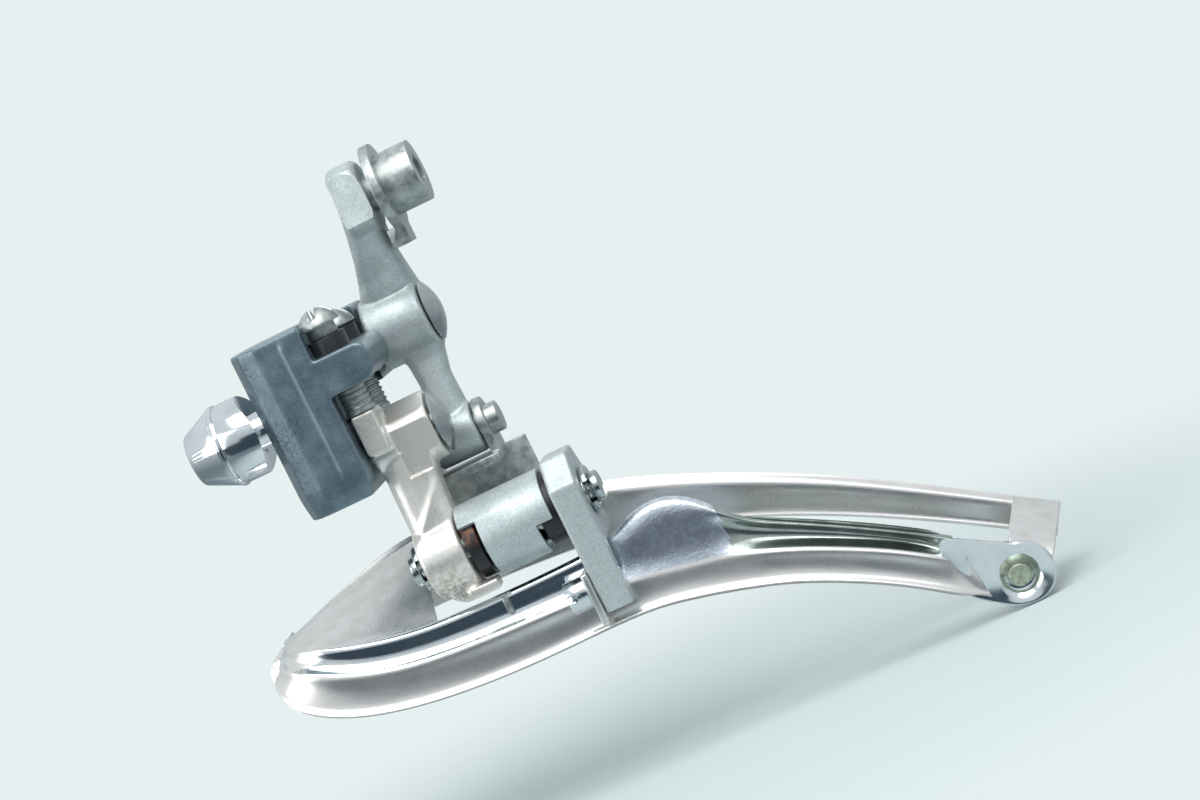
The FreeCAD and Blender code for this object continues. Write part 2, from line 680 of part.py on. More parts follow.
def spring_seats():
    """Nylon seats at the ends of the spring; they centre it on the long pin."""
    rear = "barrel_front - barrel_length + bush_length"
    places = (("front_spring_seat", "barrel_front - seat_gap", "bush_length"),
              ("rear_spring_seat", rear, "bush_length + flange_gap - seat_gap"))
    for label, front, length in places:
        disc = rod(label + "Disc", "barrel_radius - barrel_wall - seat_gap", length,
                   front, PIVOT_C)
        hole = rod(label + "Hole", "pin_radius + running_gap", length + " + 2",
                   front + " + 1", PIVOT_C)
        seat = cut(label, disc, hole)
        seat.Label = label


def torsion_spring():
    """Coil about the long pin, with a straight leg at each end."""
    helix = doc.addObject("Part::Helix", "SpringPath")
    bind(helix, Pitch="spring_pitch", Height="spring_pitch * spring_turns",
         Radius="spring_radius")
    ring = doc.addObject("Part::Circle", "SpringSection")
    bind(ring, Radius="spring_wire / 2")
    ring.Placement = Placement(Vector(size("spring_radius"), 0, 0),
                               Rotation(Vector(1, 0, 0), 90))
    ring.setExpression("Placement.Base.x", cells("spring_radius"))
    coil = doc.addObject("Part::Sweep", "return_spring")
    coil.Sections = [ring]
    coil.Spine = helix
    coil.Solid = True
    coil.Frenet = True
    coil.Label = "return_spring"
    coil.Placement = Placement(Vector(), pie_rotation(0))
    bind(coil, Placement__Base__x="barrel_front - barrel_length + bush_length + 0.2"
         " + spring_wire / 2", Placement__Base__y=PIVOT_C[0], Placement__Base__z=PIVOT_C[1])


spring_barrel()
spring_seats()
torsion_spring()

# ------------------------------------------------------------------ flange

SCREW_Z = PIVOT_C[1] + " - flange_screw_drop"
SCREW_Y = PIVOT_C[0] + " + flange_inboard - 1.9"


def rear_flange():
    """Pivot support plate at the rear end of the long pin."""
    drop = "flange_drop"
    front = FLANGE_REAR
    outline = [
        (PIVOT_C[0] + " - flange_outboard + 2.5", PIVOT_C[1] + " + flange_top"),
        (PIVOT_C[0] + " - flange_outboard", PIVOT_C[1] + " + flange_top - 3.5"),
        (PIVOT_C[0] + " - flange_outboard", PIVOT_C[1] + " - 5.8"),
        ("inner_plate_y + band_step + 0.1", PIVOT_C[1] + " - 6.6"),
        ("inner_plate_y + band_step + 0.1", PIVOT_C[1] + " - " + drop),
        (PIVOT_C[0] + " + flange_inboard - 0.4", PIVOT_C[1] + " - " + drop),
        (PIVOT_C[0] + " + flange_inboard", PIVOT_C[1] + " - " + drop + " + 3"),
        (PIVOT_C[0] + " + flange_inboard", PIVOT_C[1] + " + 2.4"),
        (PIVOT_C[0] + " + flange_inboard - 3.4", PIVOT_C[1] + " + flange_top"),
    ]
    plate = prism("FlangePlate", "YZ_Plane", outline, front, "flange_thick")
    bore = rod("FlangeBore", "pin_radius", "flange_thick + 2", FLANGE_FRONT + " + 1", PIVOT_C)
    hole = rod("FlangeHole", "flange_screw_radius", "flange_thick + 2",
               FLANGE_FRONT + " + 1", (SCREW_Y, SCREW_Z))
    flange = cut("rear_flange", plate, bore, hole)
    flange.Label = "rear_flange"


def flange_screw():
    """Slotted screw that clamps the cage's lug to the flange."""
    seat = FLANGE_FRONT + " + lug_plate"
    head = rod("FlangeHead", "flange_screw_head", "flange_screw_rise",
               seat + " + flange_screw_rise", (SCREW_Y, SCREW_Z))
    shank = rod("FlangeShank", "flange_screw_radius", "flange_thick + lug_plate", seat,
                (SCREW_Y, SCREW_Z))
    slot = box("FlangeSlot", (seat + " + flange_screw_rise - 1.3", SCREW_Y + " - 4",
                              SCREW_Z + " - 0.45"), "2", "8", "0.9")
    screw = cut("flange_screw", fuse("FlangeScrewWhole", head, shank), slot)
    screw.Label = "flange_screw"


rear_flange()
flange_screw()

RIVETS = [("%s - 1.5 - %d * rivet_spacing" % (EAR_FRONT, index),
           PIVOT_D[1] + " - rivet_drop") for index in (0, 1)]

# ------------------------------------------------------------------ cage

# Outlines in the plane of travel, as pairs of forward and upward distances.
LOWER_EDGE = [(14.6, -29.4), (14.2, -33.0), (10.4, -36.9), (0.8, -40.7), (-14.8, -42.6),
              (-27.0, -42.6), (-36.9, -42.6), (-46.3, -44.7), (-57.5, -48.6), (-66.6, -53.5),
              (-78.6, -62.1)]
BAND_LINE = [(13.4, -28.6), (9.4, -31.4), (4.5, -33.8), (-2.4, -36.0), (-13.7, -37.1),
             (-25.2, -37.5), (-36.0, -38.2), (-44.6, -39.8), (-55.0, -43.0), (-65.0, -47.6),
             (-74.6, -53.4)]
BEND_LINE = [(12.4, -27.9), (9.1, -28.5), (5.9, -29.5), (0.0, -31.2), (-7.9, -32.6),
             (-19.6, -32.8), (-33.0, -32.8)]
TAIL_TOP = [(-33.0, -32.8), (-38.3, -31.6), (-42.7, -30.8), (-45.6, -31.6), (-48.4, -34.4),
            (-52.6, -37.8), (-63.9, -43.9), (-70.0, -47.8), (-76.5, -52.4)]
WEB_RIM = [(12.4, -27.9), (9.6, -26.7), (5.3, -25.2), (-1.0, -23.9), (-9.6, -22.5)]
OUTER_TOP = [(12.4, -27.9), (9.6, -26.7), (5.3, -25.2), (-1.0, -23.9), (-9.6, -22.5),
             (-21.0, -23.0), (-33.8, -25.9), (-51.3, -32.9), (-65.5, -40.2), (-84.0, -51.8),
             (-88.8, -54.8)]
OUTER_LOW = [(12.4, -27.9), (11.0, -30.4), (6.0, -31.8), (-10.0, -32.0), (-30.0, -32.9),
             (-48.8, -37.9), (-65.4, -45.5), (-80.6, -54.5), (-86.6, -58.6)]
EYE = (-80.4, -59.0)


def at(point, y):
    """A point of an outline, at a distance inboard."""
    return Vector(point[0] + size("cage_x"), y, point[1])


def curve(points, y):
    """A smooth edge through an outline's points."""
    line = Part.BSplineCurve()
    line.interpolate([at(point, y) for point in points])
    return line.toShape()


def segment(start, end, y):
    """A straight edge between two outline points."""
    return Part.LineSegment(at(start, y), at(end, y)).toShape()


def slab(edges, thickness):
    """A plate from a closed outline, that much outboard of it."""
    face = Part.Face(Part.Wire(Part.__sortEdges__(edges)))
    return face.extrude(Vector(0, -thickness, 0))


def inner_cage_plate():
    """Deep plate: upper band, stepped lower band, sloping nose web, tail eye and lug."""
    thick = size("sheet_thick")
    upper_y = size("inner_plate_y")
    lower_y = upper_y + size("band_step")
    lower = slab([curve(LOWER_EDGE, lower_y), segment(LOWER_EDGE[-1], BAND_LINE[-1], lower_y),
                  curve(BAND_LINE, lower_y), segment(BAND_LINE[0], LOWER_EDGE[0], lower_y)],
                 thick)
    deeper = [(x, z - 1.0) for x, z in BAND_LINE]
    upper = slab([curve(deeper, upper_y), segment(deeper[-1], TAIL_TOP[-1], upper_y),
                  curve(TAIL_TOP, upper_y), curve(BEND_LINE, upper_y),
                  segment(BEND_LINE[0], deeper[0], upper_y)], thick)
    rim_y = size("outer_plate_y")
    sunk = [(x, z - 0.3) for x, z in BEND_LINE[:5] + [(-9.6, -32.7)]]
    first = curve(sunk, upper_y - thick / 2)
    second = curve(WEB_RIM, rim_y)
    web_face = Part.makeRuledSurface(first, second)
    web = web_face.extrude(Vector(0, 0, -thick))
    eye_y = upper_y
    eye = Part.makeCylinder(size("tail_eye_radius"), thick, at(EYE, eye_y), Vector(0, -1, 0))
    neck = [(-75.0, -51.9), (EYE[0] - 1.6, EYE[1] + 3.5), EYE, (-78.3, -61.5), (-72.0, -56.7)]
    bridge = slab([segment(point, neck[(index + 1) % len(neck)], eye_y)
                   for index, point in enumerate(neck)], thick)
    front = evaluate(FLANGE_FRONT)
    lug_z = evaluate(SCREW_Z)
    lug_plate = size("lug_plate")
    reach = evaluate(PIVOT_C[0] + " + flange_inboard") + 0.6 - (lower_y - thick)
    lug = Part.makeBox(lug_plate, reach, 7.6, Vector(front, lower_y - thick, lug_z - 5.0))
    hole = Part.makeCylinder(size("tail_rivet_radius"), 6, at(EYE, eye_y + 3), Vector(0, -1, 0))
    screw = Part.makeCylinder(size("flange_screw_radius"), 6,
                              Vector(front - 2, evaluate(SCREW_Y), lug_z), Vector(1, 0, 0))
    shape = upper.fuse([lower, web, eye, bridge, lug]).removeSplitter()
    item = doc.addObject("Part::Feature", "inner_cage_plate")
    item.Shape = shape.cut(hole).cut(screw)
    item.Label = "inner_cage_plate"


def outer_cage_plate():
    """Shallow plate that pushes the chain inboard, with the strap that closes the tail."""
    thick = size("sheet_thick")
    face_y = size("outer_plate_y")
    plate = slab([curve(OUTER_TOP, face_y), segment(OUTER_TOP[-1], OUTER_LOW[-1], face_y),
                  curve(OUTER_LOW, face_y)], thick)
    inner_y = size("inner_plate_y") - thick
    top = [(-84.4, -52.1), (-88.8, -54.8), (-86.6, -58.6), (-82.2, -55.6)]
    foot = [(-80.6, -55.4), (-85.4, -58.4), (-83.4, -61.4), (-78.6, -58.2)]
    strap = Part.makeLoft([strap_section(top, face_y - thick, thick),
                           strap_section(foot, inner_y - 0.05, thick)], True, True)
    tab = Part.makeCylinder(size("tail_eye_radius") - 0.5, thick, at(EYE, inner_y - 0.05),
                            Vector(0, -1, 0))
    hole = Part.makeCylinder(size("tail_rivet_radius"), 8, at(EYE, inner_y + 3),
                             Vector(0, -1, 0))
    shape = plate.fuse([strap, tab]).removeSplitter().cut(hole)
    for x, z in RIVETS:
        start = Vector(evaluate(x), face_y + 1, evaluate(z))
        shape = shape.cut(Part.makeCylinder(size("bracket_rivet_radius"), 8, start,
                                            Vector(0, -1, 0)))
    item = doc.addObject("Part::Feature", "outer_cage_plate")
    item.Shape = shape
    item.Label = "outer_cage_plate"


def strap_section(corners, y, thick):
    """A closed section of the tail strap at one side of the cage."""
    front = corners[0]
    back = corners[1]
    drop = (corners[3][0] - corners[0][0], corners[3][1] - corners[0][1])
    length = math.hypot(*drop)
    step = (drop[0] / length * thick, drop[1] / length * thick)
    points = [front, back, (back[0] + step[0], back[1] + step[1]),
              (front[0] + step[0], front[1] + step[1])]
    return Part.makePolygon([at(point, y) for point in points + points[:1]])


inner_cage_plate()
outer_cage_plate()


def tail_rivet():
    """Rivet that joins the inner plate's eye to the tail strap."""
    y = "inner_plate_y + 0.5"
    x = "cage_x - %r" % -EYE[0]
    z = "0 - %r" % -EYE[1]
    shank = cross_pin("RivetShank", "tail_rivet_radius", "2 * sheet_thick + 1.0", x, y, z)
    head = cross_pin("RivetHead", "tail_rivet_radius + 0.9", "0.8", x,
                     "inner_plate_y - 2 * sheet_thick - 0.05", z)
    rivet = fuse("tail_rivet", shank, head)
    rivet.Label = "tail_rivet"


tail_rivet()

# ------------------------------------------------------------------ bracket


def bracket_rivets():
    """Two flat-headed rivets that hold the bracket's skirt to the outer plate."""
    rivets = []
    for index, (x, z) in enumerate(RIVETS):
        shank = cross_pin("BracketShank%d" % index, "bracket_rivet_radius",
                          "2 * sheet_thick + 1.1", x, "outer_plate_y + 0.5", z)
        inner = cross_pin("RivetInner%d" % index, "bracket_rivet_radius + 0.8", "0.5", x,
                          "outer_plate_y + 0.5", z)
        outer = cross_pin("RivetOuter%d" % index, "bracket_rivet_radius + 0.8", "0.5", x,
                          "outer_plate_y - 2 * sheet_thick - plate_gap", z)
        rivets.append(fuse("BracketRivet%d" % index, shank, inner, outer))
    pair = doc.addObject("Part::Compound", "bracket_rivets")
    pair.Links = rivets
    pair.Label = "bracket_rivets"


def cage_bracket():
    """Steel bracket: two ears on the outer link's lower pivot, a floor and a skirt."""
    ear_length = "bracket_thick"
    floor_top = PIVOT_D[1] + " - outer_foot_radius - 0.35"
    floor_drop = "bracket_thick"
    depth = "%s - (%s) + bracket_thick" % (EAR_FRONT, EAR_REAR)
    skirt_y = "outer_plate_y - 2 * sheet_thick - plate_gap"
    parts = []
    for tag, front in (("Front", EAR_FRONT), ("Rear", EAR_REAR + " + bracket_thick")):
        parts.append(rod(tag + "Ear", "outer_foot_radius - 0.2", ear_length, front, PIVOT_D))
        parts.append(box(tag + "EarFoot",
                         (front + " - bracket_thick", PIVOT_D[0] + " - outer_foot_radius + 0.6",
                          floor_top + " - bracket_thick"), "bracket_thick",
                         "2 * outer_foot_radius - 1.0",
                         "outer_foot_radius + bracket_thick + 0.35"))
    floor = box("BracketFloor", (EAR_REAR, skirt_y, floor_top + " - " + floor_drop),
                "%s - (%s)" % (EAR_FRONT, EAR_REAR),
                "%s + outer_foot_radius + 1.8 - (%s)" % (PIVOT_D[0], skirt_y), "bracket_thick")
    skirt = box("BracketSkirt", (EAR_REAR + " - 3", skirt_y, floor_top + " - 12.5"),
                "%s - (%s) + 6" % (EAR_FRONT, EAR_REAR), "sheet_thick", "12.5")
    bore = rod("BracketBore", "pin_radius", "20", EAR_FRONT + " + 2", PIVOT_D)
    holes = [cross_pin("BracketHole%d" % index, "bracket_rivet_radius", "8",
                       x, "outer_plate_y + 1", z) for index, (x, z) in enumerate(RIVETS)]
    bracket = cut("cage_bracket", fuse("BracketWhole", floor, skirt, *parts), bore, *holes)
    bracket.Label = "cage_bracket"


cage_bracket()
bracket_rivets()

doc.recompute()
os.makedirs("parts", exist_ok=True)

NODES = ["mount_body", "inner_fixed_pin", "outer_fixed_pin", "limit_screw_sleeves",
         "limit_screw_low", "limit_screw_high", "radius_washer", "clamp_washer", "clamp_bolt",
         "inner_link", "outer_link", "cable_washer", "cable_bolt", "inner_moving_pin",
         "outer_moving_pin", "pivot_clips", "spring_barrel", "front_spring_seat",
         "rear_spring_seat", "return_spring", "rear_flange", "flange_screw",
         "inner_cage_plate", "outer_cage_plate", "tail_rivet", "cage_bracket",
         "bracket_rivets"]

for item in doc.Objects:
    if "Invalid" in item.State or "Error" in item.State:
        raise RuntimeError("%s failed: %s" % (item.Name, item.State))
for label in NODES:
    found = doc.getObjectsByLabel(label)
    shape = found[0].Shape
    if shape.isNull() or not shape.isValid() or not shape.Solids:
        raise RuntimeError("%s has no valid solid" % label)
    print("%-22s solids %d volume %.1f box %s" % (
        label, len(shape.Solids), shape.Volume,
        ["%.1f" % v for v in (shape.BoundBox.XMin, shape.BoundBox.YMin, shape.BoundBox.ZMin,
                              shape.BoundBox.XMax, shape.BoundBox.YMax, shape.BoundBox.ZMax)]))
    shape.exportStep("parts/%s.step" % label)
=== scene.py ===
"""Front derailleur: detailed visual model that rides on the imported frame."""

from __future__ import annotations

import logging
import math
from dataclasses import dataclass, field
from enum import Enum

import bmesh
import bpy
from mathutils import Matrix, Vector
from mathutils.kdtree import KDTree

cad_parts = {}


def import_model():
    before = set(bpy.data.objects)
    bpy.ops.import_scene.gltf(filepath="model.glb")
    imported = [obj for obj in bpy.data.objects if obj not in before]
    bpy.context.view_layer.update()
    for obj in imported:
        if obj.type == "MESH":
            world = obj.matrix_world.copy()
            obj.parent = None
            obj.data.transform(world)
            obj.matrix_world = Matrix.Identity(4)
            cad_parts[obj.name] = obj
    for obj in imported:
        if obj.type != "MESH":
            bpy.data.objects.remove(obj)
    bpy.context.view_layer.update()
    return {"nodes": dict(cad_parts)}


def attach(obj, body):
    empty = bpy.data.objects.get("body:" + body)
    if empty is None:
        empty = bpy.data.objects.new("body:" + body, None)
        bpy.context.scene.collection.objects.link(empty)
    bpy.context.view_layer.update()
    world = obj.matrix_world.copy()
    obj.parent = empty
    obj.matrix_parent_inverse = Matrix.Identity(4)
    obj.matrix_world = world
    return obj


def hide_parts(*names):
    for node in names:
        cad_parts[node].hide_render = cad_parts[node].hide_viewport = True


MM = 0.001
Point = tuple[float, float]
Point3 = tuple[float, float, float]

log = logging.getLogger("derailleur")


# ---------------------------------------------------------------- finishes


def linear(hex_colour: str) -> tuple[float, float, float, float]:
    """Turns an sRGB hex colour into linear light.

    Args:
        hex_colour: six hex digits, such as "7e949e".

    Returns:
        Red, green, blue and alpha.
    """
    parts = [int(hex_colour[i:i + 2], 16) / 255 for i in (0, 2, 4)]
    curve = [c / 12.92 if c <= 0.04045 else ((c + 0.055) / 1.055) ** 2.4 for c in parts]
    return (curve[0], curve[1], curve[2], 1.0)


def add_node(tree: bpy.types.NodeTree, kind: str, settings: dict[str, object] | None = None,
             inputs: dict[str | int, object] | None = None) -> bpy.types.Node:
    """Adds a node with its settings, and links or sets its inputs.

    Args:
        tree: the node tree.
        kind: the node's type name.
        settings: properties of the node itself.
        inputs: by name or index, an output socket to link from or a plain value.

    Returns:
        The new node.
    """
    node = tree.nodes.new(kind)
    for name, value in (settings or {}).items():
        setattr(node, name, value)
    for name, value in (inputs or {}).items():
        if isinstance(value, bpy.types.NodeSocket):
            tree.links.new(value, node.inputs[name])
        else:
            node.inputs[name].default_value = value
    return node


@dataclass(frozen=True)
class Stain:
    """A patch of dirt or wear round one place on a piece."""

    centre: Point3
    reach: float
    colour: str
    strength: float = 0.8
    grain: float = 0.6


@dataclass(frozen=True)
class Finish:
    """A metal, paint or plastic finish; its lengths are in millimetres."""

    name: str
    colour: str
    mottle_colour: str
    metallic: float
    roughness: float
    roughness_spread: float = 0.08
    mottle: float = 3.0
    grain: float = 0.12
    grain_depth: float = 0.004
    speck_colour: str = "3a3a36"
    speck: float = 0.55
    speck_cover: float = 0.0
    flake: float = 0.0
    coat: float = 0.0
    stains: tuple[Stain, ...] = ()

    def build(self) -> bpy.types.Material:
        """Makes the material, or returns the one made before."""
        made = bpy.data.materials.get(self.name)
        if made:
            return made
        made = bpy.data.materials.new(self.name)
        made.use_nodes = True
        tree = made.node_tree
        tree.nodes.clear()
        place = add_node(tree, "ShaderNodeTexCoord").outputs["Object"]
        scaled = add_node(tree, "ShaderNodeVectorMath", {"operation": "SCALE"},
                          {0: place, "Scale": 1 / MM}).outputs[0]
        cloud = add_node(tree, "ShaderNodeTexNoise", inputs={
            "Vector": scaled, "Scale": 1 / self.mottle, "Detail": 5.0, "Roughness": 0.6})
        fine = add_node(tree, "ShaderNodeTexNoise", inputs={
            "Vector": scaled, "Scale": 1 / self.grain, "Detail": 3.0, "Roughness": 0.6})
        share = add_node(tree, "ShaderNodeMapRange", inputs={
            "Value": cloud.outputs[0], "From Min": 0.38, "From Max": 0.66}).outputs[0]
        colour = add_node(tree, "ShaderNodeMix", {"data_type": "RGBA"}, {
            0: share, 6: linear(self.colour), 7: linear(self.mottle_colour)}).outputs[2]
        if self.flake:
            colour = self.flakes(tree, scaled, colour)
        if self.speck_cover:
            colour = self.specks(tree, scaled, colour)
        for stain in self.stains:
            colour = self.stained(tree, scaled, colour, stain)
        rough = add_node(tree, "ShaderNodeMapRange", inputs={
            "Value": cloud.outputs[0], "From Min": 0.3, "From Max": 0.7,
            "To Min": max(self.roughness - self.roughness_spread, 0.02),
            "To Max": self.roughness + self.roughness_spread}).outputs[0]
        bump = add_node(tree, "ShaderNodeBump", inputs={
            "Height": fine.outputs[0], "Distance": self.grain_depth * MM,
            "Strength": 1.0}).outputs[0]
        skin = add_node(tree, "ShaderNodeBsdfPrincipled", inputs={
            "Base Color": colour, "Metallic": self.metallic, "Roughness": rough,
            "Normal": bump, "Coat Weight": self.coat, "Coat Roughness": 0.12})
        add_node(tree, "ShaderNodeOutputMaterial", inputs={"Surface": skin.outputs[0]})
        return made

    def flakes(self, tree: bpy.types.NodeTree, scaled: bpy.types.NodeSocket,
               colour: bpy.types.NodeSocket) -> bpy.types.NodeSocket:
        """Lightens and darkens single metal flakes in the paint."""
        cells = add_node(tree, "ShaderNodeTexVoronoi", inputs={
            "Vector": scaled, "Scale": 1 / self.flake})
        glint = add_node(tree, "ShaderNodeMapRange", inputs={
            "Value": cells.outputs["Color"], "To Min": 0.78, "To Max": 1.22}).outputs[0]
        return add_node(tree, "ShaderNodeVectorMath", {"operation": "SCALE"},
                        {0: colour, "Scale": glint}).outputs[0]

    def specks(self, tree: bpy.types.NodeTree, scaled: bpy.types.NodeSocket,
               colour: bpy.types.NodeSocket) -> bpy.types.NodeSocket:
        """Scatters small pits and specks of dirt."""
        spots = add_node(tree, "ShaderNodeTexNoise", inputs={
            "Vector": scaled, "Scale": 1 / self.speck, "Detail": 4.0, "Roughness": 0.7})
        edge = 0.74 - 0.12 * self.speck_cover
        share = add_node(tree, "ShaderNodeMapRange", inputs={
            "Value": spots.outputs[0], "From Min": edge, "From Max": edge + 0.04,
            "To Max": 0.85}).outputs[0]
        return add_node(tree, "ShaderNodeMix", {"data_type": "RGBA"}, {
            0: share, 6: colour, 7: linear(self.speck_colour)}).outputs[2]

    def stained(self, tree: bpy.types.NodeTree, scaled: bpy.types.NodeSocket,
                colour: bpy.types.NodeSocket, stain: Stain) -> bpy.types.NodeSocket:
        """Adds one broken-up patch of dirt round its centre."""
        away = add_node(tree, "ShaderNodeVectorMath", {"operation": "DISTANCE"}, {
            0: scaled, 1: stain.centre}).outputs["Value"]
        near = add_node(tree, "ShaderNodeMapRange", inputs={
            "Value": away, "From Min": stain.reach, "From Max": stain.reach * 0.2}).outputs[0]
        broken = add_node(tree, "ShaderNodeTexNoise", inputs={
            "Vector": scaled, "Scale": 1 / stain.grain, "Detail": 6.0, "Roughness": 0.75})
        patch = add_node(tree, "ShaderNodeMapRange", inputs={
            "Value": broken.outputs[0], "From Min": 0.44, "From Max": 0.62}).outputs[0]
        share = add_node(tree, "ShaderNodeMath", {"operation": "MULTIPLY"},
                         {0: near, 1: patch}).outputs[0]
        part = add_node(tree, "ShaderNodeMath", {"operation": "MULTIPLY"},
                        {0: share, 1: stain.strength}).outputs[0]
        return add_node(tree, "ShaderNodeMix", {"data_type": "RGBA"}, {
            0: part, 6: colour, 7: linear(stain.colour)}).outputs[2]


class Finishes(Enum):
    """The finishes of the derailleur's pieces."""

    # Metallic enamel over a casting: blue-grey with single aluminium flakes under a clear gloss.
    ENAMEL = Finish("metallic_enamel", "637680", "738790", 0.55, 0.34, flake=0.16, coat=0.35,
                    grain=0.3, grain_depth=0.006,
                    stains=(Stain((-1.0, 6.0, 7.5), 4.0, "1f2426", 0.8, 0.5),
                            Stain((-1.5, 6.5, -2.0), 5.5, "23292c", 0.75, 0.45),
                            Stain((-1.5, 6.5, -9.0), 4.0, "2a3032", 0.6, 0.4)))
    # Satin silver paint: fine aluminium pigment, which scatters light softly.
    SILVER = Finish("satin_silver_paint", "bcc5c6", "adb7b9", 0.45, 0.42, grain=0.14,
                    grain_depth=0.012, speck_colour="5c6260", speck=0.5, speck_cover=0.25,
                    flake=0.14)
    # Polished aluminium, handled and oxidised: bright grey with cream stains.
    LINK = Finish("worn_polished_aluminium", "ecebe7", "dcd9d2", 0.6, 0.3, grain=0.5,
                  grain_depth=0.01, speck_colour="57503f", speck=0.6, speck_cover=0.35,
                  stains=(Stain((-14.0, 3.5, -29.0), 5.5, "8d7a55", 0.75, 0.7),
                          Stain((-13.0, 3.0, -31.5), 3.5, "4e4230", 0.8, 0.35),
                          Stain((-12.0, 2.0, -5.0), 3.6, "2e2a24", 0.8, 0.4)))
    # Chrome plate: near mirror, with a haze of fine scratches.
    CHROME = Finish("chrome_plate", "dfe4e8", "cfd6db", 1.0, 0.13, 0.06, mottle=5.0,
                    grain=0.6, grain_depth=0.002, speck_colour="5b5850", speck=0.5,
                    speck_cover=0.12,
                    stains=(Stain((11.0, 1.0, -29.5), 5.0, "6b5f4a", 0.65, 0.5),
                            Stain((4.0, 3.0, -40.5), 3.0, "6b6455", 0.5, 0.4)))
    # Chrome over an unpolished pressing: the same metal with a frosted surface.
    FROSTED = Finish("frosted_chrome", "dddedd", "cfcfcc", 0.9, 0.3, 0.06, mottle=2.5,
                     grain=0.25, grain_depth=0.012, speck_colour="6f6a60", speck=0.6,
                     speck_cover=0.2)
    # Chrome over a linished pressing: soft reflections with a warm cast.
    SATIN = Finish("satin_chrome", "e9e7e5", "d9d6d4", 0.93, 0.27, 0.05, mottle=6.0,
                   grain=0.3, grain_depth=0.006, speck_colour="77726a", speck=0.5,
                   speck_cover=0.15)
    # The same pressing on the hump, with a painted reflection: a blue-white colour, and white
    # specks as painted glints off small facets.
    HUMP_GLINT_CHROME = Finish("hump_chrome_painted_reflection", "dfe5ec", "b9c4d2", 0.95, 0.25, 0.08, mottle=1.0,
                   grain=0.4, grain_depth=0.03, speck_colour="eef1f5", speck=0.6,
                   speck_cover=0.5)
    # Chrome in the hollow of a pressing, duller and painted darker green-grey: painted shade and
    # a painted dark reflection in the tail channel.
    CHANNEL_SHADE_CHROME = Finish("channel_chrome_painted_shade", "a9b1ad", "8a9490", 0.95, 0.2, 0.06, mottle=4.0,
                    grain=0.3, grain_depth=0.006)
    # Zinc plate gone dull: grey with white bloom and dark pits.
    ZINC = Finish("dull_zinc_plate", "9aa2a2", "c2c7c4", 0.8, 0.38, 0.1, mottle=1.2,
                  grain=0.25, grain_depth=0.02, speck_colour="2f312f", speck=0.45,
                  speck_cover=0.6)
    # Bright turned steel: the pins, clips and the small slotted screw.
    STEEL = Finish("turned_steel", "b9c0c1", "a3abad", 1.0, 0.2, 0.06, mottle=1.5,
                   grain=0.3, grain_depth=0.006, speck_colour="3a3a36", speck=0.4,
                   speck_cover=0.3)
    # Oiled spring steel: dark, with a soft shine.
    SPRING = Finish("oiled_spring_steel", "4a4e50", "2e3133", 0.9, 0.32, mottle=1.0,
                    grain=0.2, grain_depth=0.01)
    # Black nylon: dark and slightly glossy, with rust carried over from the spring.
    NYLON = Finish("black_nylon", "14171a", "1c2023", 0.0, 0.38, grain=0.2,
                   grain_depth=0.006,
                   stains=(Stain((-19.0, 4.0, -22.5), 3.2, "9a5420", 0.9, 0.8),))
    # Plated brass: greenish grey with brown in the low places.
    BRASS = Finish("tarnished_brass", "a9b7a4", "8b8f78", 0.6, 0.35, mottle=0.8,
                   grain=0.2, grain_depth=0.02, speck_colour="4b4230", speck=0.4,
                   speck_cover=0.9)

    def material(self) -> bpy.types.Material:
        """The finish's material."""
        return self.value.build()


# ---------------------------------------------------------------- mesh tools


def spread(values: list[Vector], steps: int) -> list[Vector]:
    """Points along a smooth curve that keeps close to its control points.

    Args:
        values: control points; the curve starts at the first and ends at the last.
        steps: number of spans along the whole curve.

    Returns:
        steps + 1 points.
    """
    first, last = 2 * values[0] - values[1], 2 * values[-1] - values[-2]
    held = [first, *values, last]
    out = []
    for index in range(steps + 1):
        along = index / steps * (len(values) - 1)
        low = min(int(along), len(values) - 2)
        t = along - low
        weights = ((1 - t) ** 3, 3 * t ** 3 - 6 * t ** 2 + 4,
                   -3 * t ** 3 + 3 * t ** 2 + 3 * t + 1, t ** 3)
        total = Vector((0, 0, 0))
        for weight, point in zip(weights, held[low:low + 4]):
            total += point * (weight / 6)
        out.append(total)
    return out


def patch(bm: bmesh.types.BMesh, rows: list[list[Vector]], along: int, across: int) -> None:
    """Adds a smooth sheet that follows rows of control points.

    Args:
        bm: the mesh to add to.
        rows: control points, one row for each station along the sheet.
        along: spans from the first row to the last.
        across: spans from a row's first point to its last.
    """
    fine = [spread(row, across) for row in rows]
    columns = [spread([row[j] for row in fine], along) for j in range(across + 1)]
    made = bmesh.ops.create_grid(bm, x_segments=along, y_segments=across, size=0.5)["verts"]
    for vert in made:
        i = round((vert.co.x + 0.5) * along)
        j = round((vert.co.y + 0.5) * across)
        vert.co = columns[j][i]


def ring(bm: bmesh.types.BMesh, points: list[Vector]) -> list[bmesh.types.BMEdge]:
    """Adds a closed loop of edges through the points."""
    verts = [bm.verts.new(point) for point in points]
    return [bm.edges.new((verts[i], verts[(i + 1) % len(verts)])) for i in range(len(verts))]


def tube(bm: bmesh.types.BMesh, loops: list[list[Vector]], closed: bool = False) -> None:
    """Adds a closed shell through loops of points, capped at both ends.

    Args:
        bm: the mesh to add to.
        loops: rings with the same number of points.
        closed: joins the last loop to the first in place of the caps.
    """
    rings = [ring(bm, loop) for loop in loops]
    for before, after in zip(rings, rings[1:]):
        bmesh.ops.bridge_loops(bm, edges=before + after)
    if closed:
        bmesh.ops.bridge_loops(bm, edges=rings[-1] + rings[0])
    else:
        bmesh.ops.contextual_create(bm, geom=rings[0])
        bmesh.ops.contextual_create(bm, geom=rings[-1])


